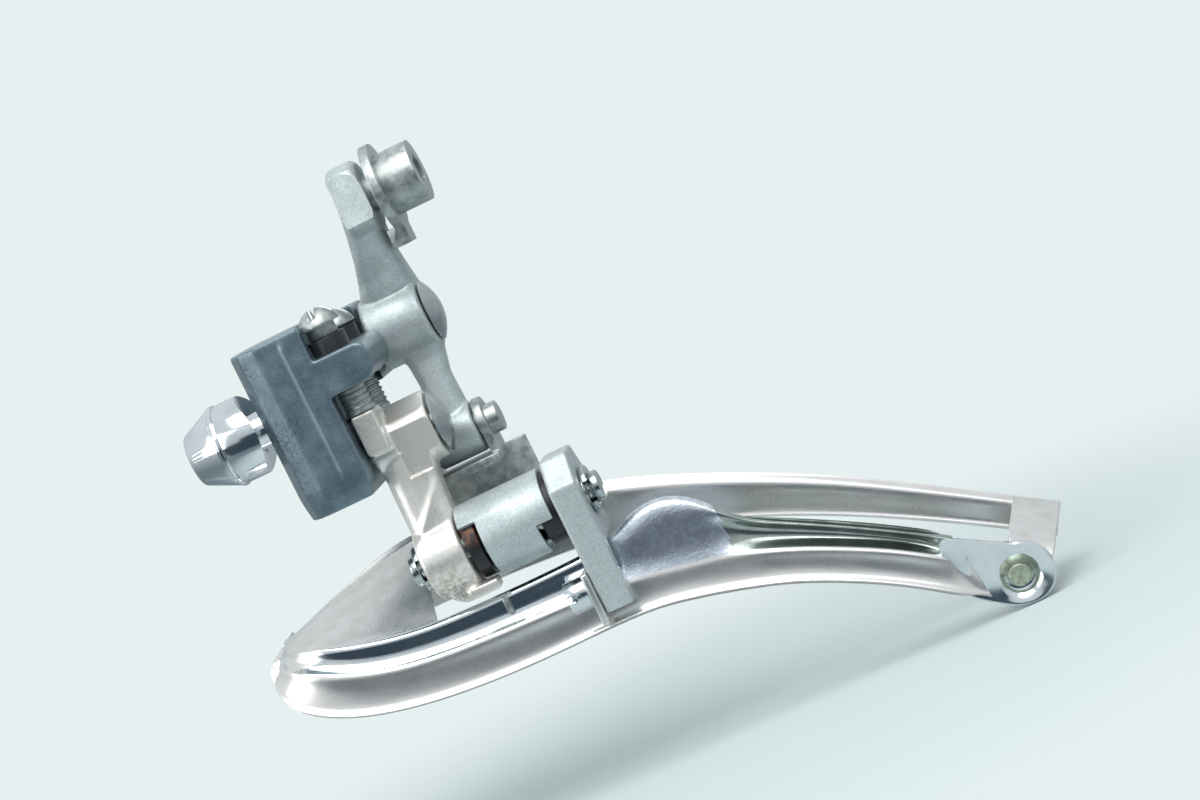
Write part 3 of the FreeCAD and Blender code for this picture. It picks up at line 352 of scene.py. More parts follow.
def turned(bm: bmesh.types.BMesh, profile: list[Point], axis: Point, steps: int) -> None:
    """Spins a profile about a line parallel to X.

    Args:
        bm: the mesh to add to.
        profile: pairs of forward distance and radius.
        axis: the line's sideways and upward distances.
        steps: segments round the turn.
    """
    line = [bm.verts.new((x, axis[0], axis[1] + radius)) for x, radius in profile]
    edges = [bm.edges.new(pair) for pair in zip(line, line[1:])]
    bmesh.ops.spin(bm, geom=line + edges, cent=(0, axis[0], axis[1]), axis=(1, 0, 0),
                   angle=math.tau, steps=steps, use_merge=True)


def rod(bm: bmesh.types.BMesh, rear: float, front: float, radius: float, axis: Point,
        edge: float = 0.3, steps: int = 64) -> None:
    """Adds a solid round bar along X with broken edges."""
    turned(bm, [(rear, 0.0), (rear, radius - edge), (rear + edge, radius),
                (front - edge, radius), (front, radius - edge), (front, 0.0)], axis, steps)


def rounded_section(x: Point, y: Point, z: float, corner: float = 0.35,
                    count: int = 24) -> list[Vector]:
    """A level, soft-cornered rectangle.

    Args:
        x: its rear and front.
        y: its outboard and inboard sides.
        z: its height.
        corner: 0 for an ellipse, 1 for a near rectangle.
        count: points round it.

    Returns:
        The points, in order.
    """
    power = 1 - 0.75 * corner
    middle = ((x[0] + x[1]) / 2, (y[0] + y[1]) / 2)
    half = ((x[1] - x[0]) / 2, (y[1] - y[0]) / 2)
    points = []
    for index in range(count):
        angle = math.tau * index / count
        c, s = math.cos(angle), math.sin(angle)
        points.append(Vector((middle[0] + half[0] * math.copysign(abs(c) ** power, c),
                              middle[1] + half[1] * math.copysign(abs(s) ** power, s), z)))
    return points


def block(bm: bmesh.types.BMesh, low: Point3, high: Point3) -> list[bmesh.types.BMVert]:
    """Adds a rectangular block between two corners and returns its corners."""
    made = bmesh.ops.create_cube(bm, size=1.0)["verts"]
    size = [b - a for a, b in zip(low, high)]
    bmesh.ops.scale(bm, vec=size, verts=made)
    bmesh.ops.translate(bm, vec=[(a + b) / 2 for a, b in zip(low, high)], verts=made)
    return made


def tidy(bm: bmesh.types.BMesh, gap: float = 0.002) -> None:
    """Merges doubles and turns every face outwards."""
    bmesh.ops.remove_doubles(bm, verts=bm.verts, dist=gap)
    bmesh.ops.recalc_face_normals(bm, faces=bm.faces)


def shade(mesh: bpy.types.Mesh, angle: float = 35.0) -> None:
    """Shades smoothly, with crisp edges where faces meet at more than an angle."""
    mesh.shade_smooth()
    mesh.set_sharp_from_angle(angle=math.radians(angle))


def piece(name: str, bm: bmesh.types.BMesh, body: str, finish: Finishes,
          nodes: tuple[str, ...] = (), sharp: float = 35.0,
          more: tuple[Finishes, ...] = ()) -> bpy.types.Object:
    """Makes an object from a mesh in millimetres, and rides it on a body.

    Args:
        name: the piece's name.
        bm: its mesh, which is freed.
        body: the CAD body that it moves with.
        finish: its first finish.
        nodes: CAD nodes that it stands for.
        sharp: angle in degrees past which an edge stays crisp.
        more: finishes for faces with material index 1 and up.

    Returns:
        The object.
    """
    mesh = bpy.data.meshes.new(name)
    bmesh.ops.scale(bm, vec=(MM, MM, MM), verts=bm.verts)
    bm.to_mesh(mesh)
    bm.free()
    shade(mesh, sharp)
    for one in (finish, *more):
        mesh.materials.append(one.material())
    made = bpy.data.objects.new(name, mesh)
    bpy.context.scene.collection.objects.link(made)
    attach(made, body)
    if nodes:
        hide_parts(*nodes)
    log.info("%s: %d faces on %s", name, len(mesh.polygons), body)
    return made


def copy_of(node: bpy.types.Object) -> bmesh.types.BMesh:
    """A merged copy of a CAD node's mesh, in millimetres, with its flat faces made whole."""
    bm = bmesh.new()
    bm.from_mesh(node.data)
    bmesh.ops.scale(bm, vec=(1 / MM,) * 3, verts=bm.verts)
    bmesh.ops.remove_doubles(bm, verts=bm.verts, dist=0.002)
    bmesh.ops.dissolve_limit(bm, angle_limit=math.radians(0.6), verts=bm.verts,
                             edges=bm.edges, delimit={"NORMAL"})
    return bm


def soften(bm: bmesh.types.BMesh, width: float, angle: float = 38.0,
           segments: int = 2) -> None:
    """Breaks every edge that is sharper than an angle.

    Args:
        bm: the mesh, in millimetres.
        width: offset of the broken edge.
        angle: edges under this angle in degrees are left.
        segments: faces across the broken edge.
    """
    limit = math.radians(angle)
    chosen = [e for e in bm.edges if len(e.link_faces) == 2 and e.calc_face_angle(0) > limit]
    bmesh.ops.bevel(bm, geom=chosen, offset=width, offset_type="OFFSET", affect="EDGES",
                    segments=segments, profile=0.5, material=-1, clamp_overlap=True)
    bmesh.ops.remove_doubles(bm, verts=bm.verts, dist=0.003)


def moulded(bm: bmesh.types.BMesh, grain: float, passes: int) -> bmesh.types.BMesh:
    """Unites overlapping shells into one casting with soft edges.

    Args:
        bm: closed shells in millimetres; it is freed.
        grain: edge length of the new surface.
        passes: smoothing passes, which set how round the edges are.

    Returns:
        The casting's mesh, in millimetres.
    """
    mesh = bpy.data.meshes.new("casting")
    bm.to_mesh(mesh)
    bm.free()
    rough = bpy.data.objects.new("casting", mesh)
    bpy.context.scene.collection.objects.link(rough)
    remesh = rough.modifiers.new("unite", "REMESH")
    remesh.mode = "VOXEL"
    remesh.voxel_size = grain
    smooth = rough.modifiers.new("smooth", "SMOOTH")
    smooth.factor = 0.5
    smooth.iterations = passes
    bpy.context.view_layer.update()
    united = bpy.data.meshes.new_from_object(
        rough.evaluated_get(bpy.context.evaluated_depsgraph_get()))
    out = bmesh.new()
    out.from_mesh(united)
    bpy.data.objects.remove(rough)
    bpy.data.meshes.remove(mesh)
    bpy.data.meshes.remove(united)
    return out


def carve(bm: bmesh.types.BMesh, tool: bmesh.types.BMesh) -> bmesh.types.BMesh:
    """Cuts a tool's closed shell away from a mesh; both are freed."""
    holders = []
    for name, source in (("solid", bm), ("tool", tool)):
        mesh = bpy.data.meshes.new(name)
        source.to_mesh(mesh)
        source.free()
        holder = bpy.data.objects.new(name, mesh)
        bpy.context.scene.collection.objects.link(holder)
        holders.append(holder)
    cut = holders[0].modifiers.new("cut", "BOOLEAN")
    cut.operation = "DIFFERENCE"
    cut.object = holders[1]
    cut.solver = "EXACT"
    bpy.context.view_layer.update()
    result = bpy.data.meshes.new_from_object(
        holders[0].evaluated_get(bpy.context.evaluated_depsgraph_get()))
    out = bmesh.new()
    out.from_mesh(result)
    for holder in holders:
        mesh = holder.data
        bpy.data.objects.remove(holder)
        bpy.data.meshes.remove(mesh)
    bpy.data.meshes.remove(result)
    return out


# ---------------------------------------------------------------- shared places

PIVOT_A: Point = (-2.0, -9.1)
PIVOT_B: Point = (-12.0, 4.0)
PIVOT_C: Point = (0.0, -25.5)
PIVOT_D: Point = (-10.0, -12.4)
ARM: Point = (-7.0, 21.4)
EYE: Point = (-80.4, -59.0)
PIN_BORE = 2.12
ARM_BORE = 2.54


def upright(x: float, y: float, low: float, high: float, radius: float,
            bm: bmesh.types.BMesh) -> None:
    """Adds a plain vertical cylinder, which is used as a cutter."""
    made = bmesh.ops.create_cone(bm, cap_ends=True, segments=48, radius1=radius,
                                 radius2=radius, depth=high - low)["verts"]
    bmesh.ops.translate(bm, vec=(x, y, (low + high) / 2), verts=made)


def flatten(bm: bmesh.types.BMesh, normal: Point3, reach: float, about: Point3,
            x: Point = (-1e3, 1e3), z: Point = (-1e3, 1e3)) -> None:
    """Presses what stands past a plane back onto it, as a forging's flat.

    Args:
        bm: the mesh.
        normal: the plane's direction.
        reach: its distance from the point.
        about: the point.
        x: forward range that is pressed.
        z: upward range that is pressed.
    """
    way = Vector(normal).normalized()
    for vert in bm.verts:
        if x[0] < vert.co.x < x[1] and z[0] < vert.co.z < z[1]:
            past = (vert.co - Vector(about)).dot(way) - reach
            if past > 0:
                vert.co -= way * past


# ---------------------------------------------------------------- fixed pieces


@dataclass
class Hardware:
    """CAD pieces whose shape is kept, with broken edges and a finish."""

    nodes: dict[str, bpy.types.Object]
    rows: tuple[tuple[str, str, Finishes, float, int], ...] = (
        ("radius_washer", "clamp_washers", Finishes.CHROME, 0.14, 2),
        ("clamp_washer", "clamp_washers", Finishes.CHROME, 0.12, 2),
        ("clamp_bolt", "clamp_bolt", Finishes.CHROME, 0.3, 3),
        ("limit_screw_low", "low_screw", Finishes.ZINC, 0.06, 1),
        ("limit_screw_high", "high_screw", Finishes.ZINC, 0.06, 1),
        ("limit_screw_sleeves", "mount", Finishes.NYLON, 0.08, 2),
        ("inner_fixed_pin", "mount", Finishes.STEEL, 0.12, 2),
        ("outer_fixed_pin", "mount", Finishes.STEEL, 0.12, 2),
        ("cable_washer", "anchor_washer", Finishes.ZINC, 0.2, 3),
        ("cable_bolt", "anchor_bolt", Finishes.ZINC, 0.5, 4),
        ("inner_moving_pin", "cage", Finishes.STEEL, 0.15, 2),
        ("outer_moving_pin", "cage", Finishes.ZINC, 0.15, 2),
        ("pivot_clips", "cage", Finishes.STEEL, 0.1, 2),
        ("spring_barrel", "cage", Finishes.SILVER, 0.1, 2),
        ("front_spring_seat", "cage", Finishes.NYLON, 0.1, 2),
        ("rear_spring_seat", "cage", Finishes.NYLON, 0.1, 2),
        ("return_spring", "cage", Finishes.SPRING, 0.0, 1),
        ("flange_screw", "cage", Finishes.CHROME, 0.12, 2),
        ("tail_rivet", "cage", Finishes.BRASS, 0.2, 3),
        ("cage_bracket", "cage", Finishes.ZINC, 0.22, 3),
        ("bracket_rivets", "cage", Finishes.STEEL, 0.12, 2),
    )

    def build(self) -> None:
        """Makes each piece."""
        for node, body, finish, width, segments in self.rows:
            bm = copy_of(self.nodes[node])
            if width:
                soften(bm, width, segments=segments)
            piece(node + "_piece", bm, body, finish, (node,))


@dataclass
class MountBody:
    """The cast body: saddle block, screw boss and the outer link's lug."""

    grain: float = 0.2
    passes: int = 9
    seam_x: float = -8.2
    seam_rise: float = 0.24
    seam_width: float = 0.32
    screw_x: float = -13.0
    link_room: float = 5.5
    # Each well for a limit screw: sideways place, floor, top and radius.
    wells: tuple[tuple[float, float, float, float], ...] = (
        (-6.5, 5.4, 14.0, 3.2), (2.5, 7.0, 14.0, 3.2), (-6.5, -4.0, 6.0, 2.66),
        (2.5, -4.0, 7.6, 2.66))

    def build(self) -> None:
        """Moulds the body and rides it on the mount."""
        bm = bmesh.new()
        half = [(0.0, 0.0), (-0.75, 4.0), (-2.2, 6.3), (-4.6, 6.95), (-10.95, 6.95)]
        section = half + [(x, -y) for x, y in reversed(half[1:])]
        tube(bm, [[Vector((x * s - (1 - s) * 4, y * s, z)) for x, y in section]
                  for z, s in ((-13.5, 0.9), (-11.8, 0.965), (-10.2, 1.0), (10.2, 1.0))])
        side = [(-9.0, 5.35), (-16.6, 5.35), (-17.7, 4.9), (-18.15, 3.6), (-17.9, 1.6),
                (-17.0, 0.5), (-15.6, 0.2), (-9.0, 0.2)]
        tube(bm, [[Vector((x, y, z)) for x, z in side] for y in (-9.8, -2.0, 6.9)])
        block(bm, (-15.6, -17.2, -1.3), (-3.2, -5.8, 9.3))
        tidy(bm)
        cast = moulded(bm, self.grain, self.passes)
        for y, low, high, radius in self.wells:
            tool = bmesh.new()
            upright(self.screw_x, y, low, high, radius, tool)
            tidy(tool)
            cast = carve(cast, tool)
        room = bmesh.new()
        rod(room, -19.5, -15.75, self.link_room, PIVOT_B, 0.1)
        tidy(room)
        cast = carve(cast, room)
        self.raise_seam(cast)
        piece("cast_body", cast, "mount", Finishes.ENAMEL, ("mount_body",), 50)

    def raise_seam(self, bm: bmesh.types.BMesh) -> None:
        """Lifts the parting seam along the inboard face."""
        for vert in bm.verts:
            if vert.co.y < 6.2 or not -10.5 < vert.co.z < 9.6:
                continue
            fade = min(1.0, (vert.co.z + 10.5) / 1.5, (9.6 - vert.co.z) / 1.0)
            away = (vert.co.x - self.seam_x) / self.seam_width
            vert.co.y += self.seam_rise * fade * math.exp(-away * away)


# ---------------------------------------------------------------- links


@dataclass
class InnerLink:
    """The forged link nearest the rider's leg, with stop lugs and spring hook."""

    grain: float = 0.2
    passes: int = 7
    swing: float = 42.0
    ridge_rise: float = 0.22
    ridge_width: float = 0.9
    leg: tuple[tuple[float, Point, Point], ...] = (
        (-6.6, (-20.3, -11.3), (-5.2, 1.9)), (-10.0, (-20.2, -11.25), (-5.0, 2.4)),
        (-12.5, (-19.0, -11.25), (-4.6, 2.5)), (-15.0, (-18.1, -11.25), (-4.2, 2.6)),
        (-18.0, (-17.8, -11.25), (-3.9, 2.8)), (-22.0, (-17.7, -11.25), (-3.4, 3.1)),
        (-26.0, (-17.4, -11.3), (-3.4, 3.8)), (-29.0, (-17.3, -11.6), (-3.0, 4.0)),
        (-30.8, (-17.3, -12.8), (-2.0, 4.1)), (-31.7, (-17.2, -14.2), (-0.6, 4.0)))

    def build(self) -> None:
        """Moulds the link and rides it on its own body."""
        bm = bmesh.new()
        rod(bm, -20.4, -11.3, 4.7, PIVOT_A)
        rod(bm, -17.3, -11.3, 5.2, PIVOT_C)
        tube(bm, [rounded_section(x, y, z, 0.55) for z, x, y in self.leg])
        block(bm, (-14.6, -2.0, -9.1), (-11.45, 4.3, -3.5))
        self.high_lug(bm)
        block(bm, (-19.4, 0.7, -31.7), (-15.5, 4.3, -30.3))
        tidy(bm)
        cast = moulded(bm, self.grain, self.passes)
        about = (0.0, PIVOT_A[0], PIVOT_A[1])
        flatten(cast, (0, 1.0, -0.12), 4.15, about, (-21, -14.9), (-14, -2))
        flatten(cast, (0, 0.5, 0.86), 4.3, about, (-21, -14.9))
        for vert in cast.verts:
            away = (vert.co.z + 20.0 + (vert.co.x + 14.0) * 1.1) / self.ridge_width
            if vert.co.y > 1.5:
                vert.co.y += self.ridge_rise * math.exp(-away ** 2)
        tool = bmesh.new()
        rod(tool, -22.0, -10.0, PIN_BORE, PIVOT_A, 0.05)
        rod(tool, -18.5, -10.0, PIN_BORE, PIVOT_C, 0.05)
        tidy(tool)
        piece("forged_inner_link", carve(cast, tool), "inner_link", Finishes.LINK,
              ("inner_link",), 50)

    def high_lug(self, bm: bmesh.types.BMesh) -> None:
        """Adds the lug that meets the high limit screw at full swing."""
        made = block(bm, (-14.6, -1.7, -1.5), (-11.4, 1.7, 1.5))
        turn = Matrix.Rotation(math.radians(self.swing), 3, "X")
        bmesh.ops.rotate(bm, cent=(0, 0, 0), matrix=turn, verts=made)
        bmesh.ops.translate(bm, vec=(0, -6.98, -9.85), verts=made)


@dataclass
class OuterLink:
    """The link with the cable arm above its fixed pivot."""

    grain: float = 0.2
    passes: int = 9
    leg: tuple[tuple[float, Point, Point], ...] = (
        (5.0, (-24.7, -16.0), (-15.4, -8.6)), (1.0, (-24.5, -17.6), (-15.2, -8.8)),
        (-1.5, (-23.9, -18.6), (-14.6, -8.9)), (-4.5, (-23.3, -18.9), (-14.0, -8.5)),
        (-8.0, (-23.5, -18.6), (-13.4, -8.0)), (-12.4, (-23.7, -17.2), (-13.0, -7.2)))
    neck: tuple[tuple[float, Point, Point], ...] = (
        (4.0, (-24.8, -16.0), (-15.8, -9.0)), (8.0, (-24.8, -16.2), (-14.8, -9.1)),
        (11.0, (-24.6, -17.5), (-13.6, -7.9)), (14.0, (-24.5, -18.7), (-12.2, -5.9)),
        (17.0, (-24.8, -19.5), (-11.4, -4.6)), (20.0, (-25.0, -20.2), (-11.4, -3.2)),
        (23.0, (-25.0, -20.6), (-11.2, -2.6)), (25.6, (-24.9, -20.9), (-9.8, -3.6)))

    def build(self) -> None:
        """Moulds the link and rides it on its own body."""
        bm = bmesh.new()
        rod(bm, -24.3, -15.95, 5.0, PIVOT_B)
        rod(bm, -23.9, -16.9, 3.6, PIVOT_D)
        rod(bm, -25.0, -20.7, 5.1, ARM, 0.6)
        tube(bm, [rounded_section(x, y, z, 0.55) for z, x, y in self.leg])
        tube(bm, [rounded_section(x, y, z, 0.5) for z, x, y in self.neck])
        tidy(bm)
        cast = moulded(bm, self.grain, self.passes)
        flatten(cast, (0.25, 1.0, 0.0), 1.1, (-22.0, -5.0, 0.0), (-26, -19), (18.5, 28))
        tool = bmesh.new()
        rod(tool, -26.0, -14.0, PIN_BORE, PIVOT_B, 0.05)
        rod(tool, -25.0, -15.0, PIN_BORE, PIVOT_D, 0.05)
        rod(tool, -26.5, -19.5, ARM_BORE, ARM, 0.05)
        tidy(tool)
        piece("forged_outer_link", carve(cast, tool), "outer_link", Finishes.SILVER,
              ("outer_link",), 50)


# ---------------------------------------------------------------- cage


@dataclass
class RearFlange:
    """The pivot support plate behind the spring barrel, with rounded edges."""

    node: bpy.types.Object
    grain: float = 0.16
    passes: int = 22

    def build(self) -> None:
        """Softens the plate and rides it on the cage."""
        bm = moulded(copy_of(self.node), self.grain, self.passes)
        piece("rear_support_plate", bm, "cage", Finishes.SILVER, ("rear_flange",), 20)


def sheet_piece(name: str, bm: bmesh.types.BMesh, thick: float, finish: Finishes,
                nodes: tuple[str, ...], more: tuple[Finishes, ...] = ()) -> bpy.types.Object:
    """Makes a pressed sheet from an open surface whose faces point inboard.

    Args:
        name: the piece's name.
        bm: the inboard surface, which is freed.
        thick: the sheet, added on the outboard side.
        finish: its first finish.
        nodes: CAD nodes that it stands for.
        more: finishes for faces with material index 1 and up.

    Returns:
        The object.
    """
    made = piece(name, bm, "cage", finish, nodes, 60, more)
    wall = made.modifiers.new("wall", "SOLIDIFY")
    wall.thickness = thick * MM
    wall.offset = -1.0
    wall.use_even_offset = False
    edge = made.modifiers.new("edge", "BEVEL")
    edge.width = 0.16 * MM
    edge.segments = 2
    edge.limit_method = "ANGLE"
    edge.angle_limit = math.radians(55)
    return made


def face_inboard(bm: bmesh.types.BMesh) -> None:
    """Merges doubles and makes an open sheet's faces point inboard."""
    bmesh.ops.remove_doubles(bm, verts=bm.verts, dist=0.002)
    bmesh.ops.recalc_face_normals(bm, faces=bm.faces)
    lean = sum((f.normal.y * f.calc_area() for f in bm.faces), 0.0)
    if lean < 0:
        bmesh.ops.reverse_faces(bm, faces=bm.faces)


@dataclass
class InnerCagePlate:
    """The deep plate: nose web, two bands, hump, tail channel, eye and lug."""

    thick: float = 1.0
    along: int = 150
    across: int = 60
    web_along: int = 60
    web_across: int = 24
    web_y: float = -10.3
    seam_gap: float = 0.5
    eye_steps: int = 72
    finishes: tuple[Finishes, ...] = (Finishes.CHROME, Finishes.FROSTED, Finishes.SATIN,
                                      Finishes.HUMP_GLINT_CHROME, Finishes.CHANNEL_SHADE_CHROME)
    # For each station: top edge, ledge, lower edge, how far it curls outboard, how far the
    # lower band leans inboard, and the profile.
    stations: tuple[tuple[Point, Point, Point, float, float, str], ...] = (
        ((12.2, -27.6), (12.5, -28.2), (12.9, -28.9), 10.6, 0.2, "band"),
        ((12.6, -27.6), (13.9, -29.0), (15.2, -30.6), 5.6, 0.3, "band"),
        ((9.6, -28.2), (11.6, -30.4), (14.4, -33.6), 1.5, 0.5, "band"),
        ((5.9, -29.4), (8.0, -32.3), (10.6, -36.9), 0.35, 0.6, "band"),
        ((1.5, -30.8), (3.6, -34.3), (5.5, -39.3), 0.0, 0.6, "band"),
        ((-3.6, -31.9), (-2.4, -36.0), (-1.4, -41.1), 0.0, 0.55, "band"),
        ((-9.0, -32.6), (-9.0, -36.8), (-9.0, -42.1), 0.0, 0.4, "band"),
        ((-17.0, -32.8), (-17.0, -37.3), (-17.0, -42.6), 0.0, 0.2, "band"),
        ((-25.0, -32.8), (-25.0, -37.5), (-25.0, -42.6), 0.0, 0.15, "band"),
        ((-31.5, -32.7), (-31.5, -37.9), (-31.5, -42.4), 0.0, 0.4, "band"),
        ((-35.5, -32.0), (-36.0, -38.3), (-37.0, -42.6), 0.0, 0.6, "hump"),
        ((-38.5, -30.3), (-40.0, -39.0), (-41.5, -43.5), 0.0, 0.7, "hump"),
        ((-42.5, -29.9), (-44.0, -39.8), (-46.0, -44.6), 0.0, 0.7, "hump"),
        ((-46.8, -31.9), (-48.0, -40.6), (-50.3, -45.9), 0.0, 0.7, "hump"),
        ((-50.3, -36.6), (-51.8, -41.8), (-54.3, -47.2), 0.0, 0.7, "channel"),
        ((-54.8, -39.1), (-56.3, -43.5), (-58.9, -49.3), 0.0, 0.7, "channel"),
        ((-60.5, -42.2), (-62.0, -46.2), (-64.3, -52.1), 0.0, 0.7, "channel"),
        ((-66.5, -45.7), (-68.0, -49.4), (-69.3, -55.3), 0.0, 0.7, "channel"),
        ((-71.2, -48.6), (-72.0, -52.2), (-72.9, -57.9), 0.0, 0.7, "channel"),
        ((-72.8, -49.6), (-73.6, -53.0), (-74.4, -58.9), 0.0, 0.3, "step"),
        ((-74.6, -50.8), (-75.2, -54.0), (-76.0, -60.0), 0.0, 0.0, "step"),
    )
    # Each profile: part (0 top to ledge, 1 ledge to lower edge), share of it, inboard distance.
    profiles: dict[str, tuple[tuple[int, float, float], ...]] = field(default_factory=lambda: {
        "band": ((0, 0.0, 1.2), (0, 0.05, 1.75), (0, 0.16, 2.0), (0, 0.4, 1.9), (0, 0.66, 1.95),
                 (0, 0.84, 2.4), (0, 0.94, 2.85), (1, 0.0, 3.1), (1, 0.1, 3.15), (1, 0.3, 2.95),
                 (1, 0.55, 2.9), (1, 0.8, 2.95), (1, 0.9, 3.1), (1, 0.96, 3.4), (1, 1.0, 3.45)),
        "hump": ((0, 0.0, 0.9), (0, 0.03, 1.7), (0, 0.1, 2.2), (0, 0.3, 2.45), (0, 0.5, 2.45),
                 (0, 0.7, 2.5), (0, 0.88, 2.7), (1, 0.0, 2.95), (1, 0.12, 3.0), (1, 0.3, 2.95),
                 (1, 0.55, 2.9), (1, 0.8, 2.95), (1, 0.9, 3.1), (1, 0.96, 3.4), (1, 1.0, 3.45)),
        "channel": ((0, 0.0, 1.3), (0, 0.04, 2.2), (0, 0.12, 2.45), (0, 0.2, 2.2),
                    (0, 0.3, 1.3), (0, 0.55, 1.15), (0, 0.8, 1.4), (1, 0.0, 3.0), (1, 0.1, 3.2),
                    (1, 0.3, 3.0), (1, 0.55, 2.9), (1, 0.8, 2.95), (1, 0.9, 3.1),
                    (1, 0.96, 3.4), (1, 1.0, 3.45)),
        "step": ((0, 0.0, 1.2), (0, 0.04, 1.7), (0, 0.12, 2.1), (0, 0.2, 2.2),
                 (0, 0.3, 2.2), (0, 0.55, 2.2), (0, 0.8, 2.2), (1, 0.0, 2.3), (1, 0.1, 2.3),
                 (1, 0.3, 2.3), (1, 0.55, 2.3), (1, 0.8, 2.4), (1, 0.9, 2.5),
                 (1, 0.96, 2.6), (1, 1.0, 2.6)),
    })
    # The nose web, from its outer rim to the bend, for the first stations.
    web: tuple[tuple[Point, Point], ...] = (
        ((12.3, -27.5), (12.6, -27.4)), ((10.9, -27.1), (11.5, -27.5)),
        ((8.3, -26.3), (9.0, -27.9)), ((4.4, -25.1), (5.7, -28.9)),
        ((-0.2, -24.1), (1.3, -30.2)), ((-5.0, -23.2), (-3.8, -31.3)),
        ((-9.4, -22.6), (-9.0, -32.0)))

    def build(self) -> None:
        """Presses the plate and rides it on the cage."""
        bm = bmesh.new()
        patch(bm, [self.row(station) for station in self.stations], self.along, self.across)
        bm.verts.index_update()
        for face in bm.faces:
            rank = max(v.index // (self.along + 1) for v in face.verts)
            face.material_index = int(rank > self.across // 2)
        self.press_web(bm)
        face_inboard(bm)
        for face in bm.faces:
            low = bool(face.material_index)
            finish = self.finish_at(face.calc_center_median(), low)
            face.material_index = self.finishes.index(finish)
        sheet_piece("inner_plate", bm, self.thick, self.finishes[0], ("inner_cage_plate",),
                    self.finishes[1:])
        self.tail_eye()
        self.lug()

    @staticmethod
    def finish_at(place: Vector, low: bool) -> Finishes:
        """The finish of the lower band, or of a place on the web, bend, hump or channel."""
        if low:
            return Finishes.SATIN
        if -12.0 < place.x < 12.0 and place.y < 0.8:
            return Finishes.FROSTED
        if place.x > -33.5:
            return Finishes.CHROME
        # The hump's chrome carries a painted reflection and painted glints; the tail channel's
        # chrome is darkened with painted shade.
        return Finishes.HUMP_GLINT_CHROME if place.x > -48.6 else Finishes.CHANNEL_SHADE_CHROME

    def row(self, station: tuple[Point, Point, Point, float, float, str]) -> list[Vector]:
        """The control points of one station, from the top edge to the lower edge."""
        top, ledge, low, curl, lean, kind = station
        points = []
        for part, share, y in self.profiles[kind]:
            start, end = (top, ledge) if part == 0 else (ledge, low)
            y += lean * (share - 0.8 if part else -0.8)
            points.append(Vector((start[0] + (end[0] - start[0]) * share, y - curl,
                                  start[1] + (end[1] - start[1]) * share)))
        return points

    def press_web(self, bm: bmesh.types.BMesh) -> None:
        """Adds the sloping web from the outer plate to the bend, with its edge on the bend's."""
        rows = []
        for index, (rim, bend) in enumerate(self.web):
            station = self.stations[index]
            end = self.row(station)[0]
            outer = Vector((rim[0], self.web_y, rim[1]))
            inner = Vector((bend[0], end.y - 0.7, bend[1]))
            middle = outer.lerp(inner, 0.5) + Vector((0, 0, 0.25))
            rows.append([outer, outer.lerp(middle, 0.5), middle, middle.lerp(inner, 0.6),
                         inner, end])
        seam = [v for v in bm.verts if v.is_boundary]
        patch(bm, rows, self.web_along, self.web_across)
        tree = KDTree(len(seam))
        for index, vert in enumerate(seam):
            tree.insert(vert.co, index)
        tree.balance()
        known = set(seam)
        for vert in bm.verts:
            place, _, gap = tree.find(vert.co)
            if vert not in known and vert.is_boundary and gap < self.seam_gap:
                vert.co = place

    def tail_eye(self) -> None:
        """Adds the flat end with its countersunk eye."""
        outline = [(-72.0, -49.6), (-76.6, -52.3), (-80.2, -54.4), (-83.4, -55.4),
                   (-85.3, -58.0), (-84.8, -61.4), (-82.0, -63.3), (-78.6, -62.8),
                   (-75.6, -60.7), (-72.4, -58.0)]
        for _ in range(3):
            outline = [(a[0] + (b[0] - a[0]) * share, a[1] + (b[1] - a[1]) * share)
                       for a, b in zip(outline, outline[1:] + outline[:1])
                       for share in (0.25, 0.75)]
        turns = [math.tau * i / self.eye_steps for i in range(self.eye_steps)]
        edge = [self.cast_out(outline, turn) for turn in turns]
        centre = Vector((EYE[0], 0, EYE[1]))

        def circle(radius: float, y: float) -> list[Vector]:
            """A ring round the eye."""
            return [centre + Vector((radius * math.cos(turn), y, radius * math.sin(turn)))
                    for turn in turns]

        def rim(inset: float, y: float) -> list[Vector]:
            """The outline, drawn in towards the eye."""
            return [Vector((p.x, y, p.z)) - (p - centre).normalized() * inset for p in edge]

        bm = bmesh.new()
        tube(bm, [circle(1.5, 0.95), rim(0.2, 0.95), rim(0.0, 1.1), rim(0.0, 2.15),
                  rim(0.25, 2.4), rim(0.6, 2.35), circle(3.1, 2.15), circle(2.75, 2.05),
                  circle(2.35, 1.6), circle(1.9, 1.45), circle(1.5, 1.4)], closed=True)
        tidy(bm)
        piece("inner_plate_tail_eye", bm, "cage", Finishes.CHROME, (), 40)

    @staticmethod
    def cast_out(outline: list[Point], angle: float) -> Vector:
        """Where a ray from the eye meets the outline."""
        way = (math.cos(angle), math.sin(angle))
        best = 3.0
        for start, end in zip(outline, outline[1:] + outline[:1]):
            side = (end[0] - start[0], end[1] - start[1])
            cross = way[0] * side[1] - way[1] * side[0]
            if abs(cross) < 1e-9:
                continue
            gap = (start[0] - EYE[0], start[1] - EYE[1])
            reach = (gap[0] * side[1] - gap[1] * side[0]) / cross
            share = (gap[0] * way[1] - gap[1] * way[0]) / cross
            if reach > 0 and -1e-6 <= share <= 1 + 1e-6:
                best = reach
        return Vector((EYE[0] + way[0] * best, 0, EYE[1] + way[1] * best))

    @staticmethod
    def lug() -> None:
        """Adds the lug under the flange screw and the small tab."""
        bm = bmesh.new()
        block(bm, (-30.55, 2.2, -41.7), (-29.6, 6.5, -34.4))
        soften(bm, 0.3, segments=3)
        tidy(bm)
        piece("inner_plate_lug", bm, "cage", Finishes.FROSTED, (), 40)
        tab = bmesh.new()
        block(tab, (-19.2, 1.7, -35.6), (-18.4, 2.45, -33.2))
        soften(tab, 0.15, segments=2)
        tidy(tab)
        piece("inner_plate_tab", tab, "cage", Finishes.ZINC, (), 40)


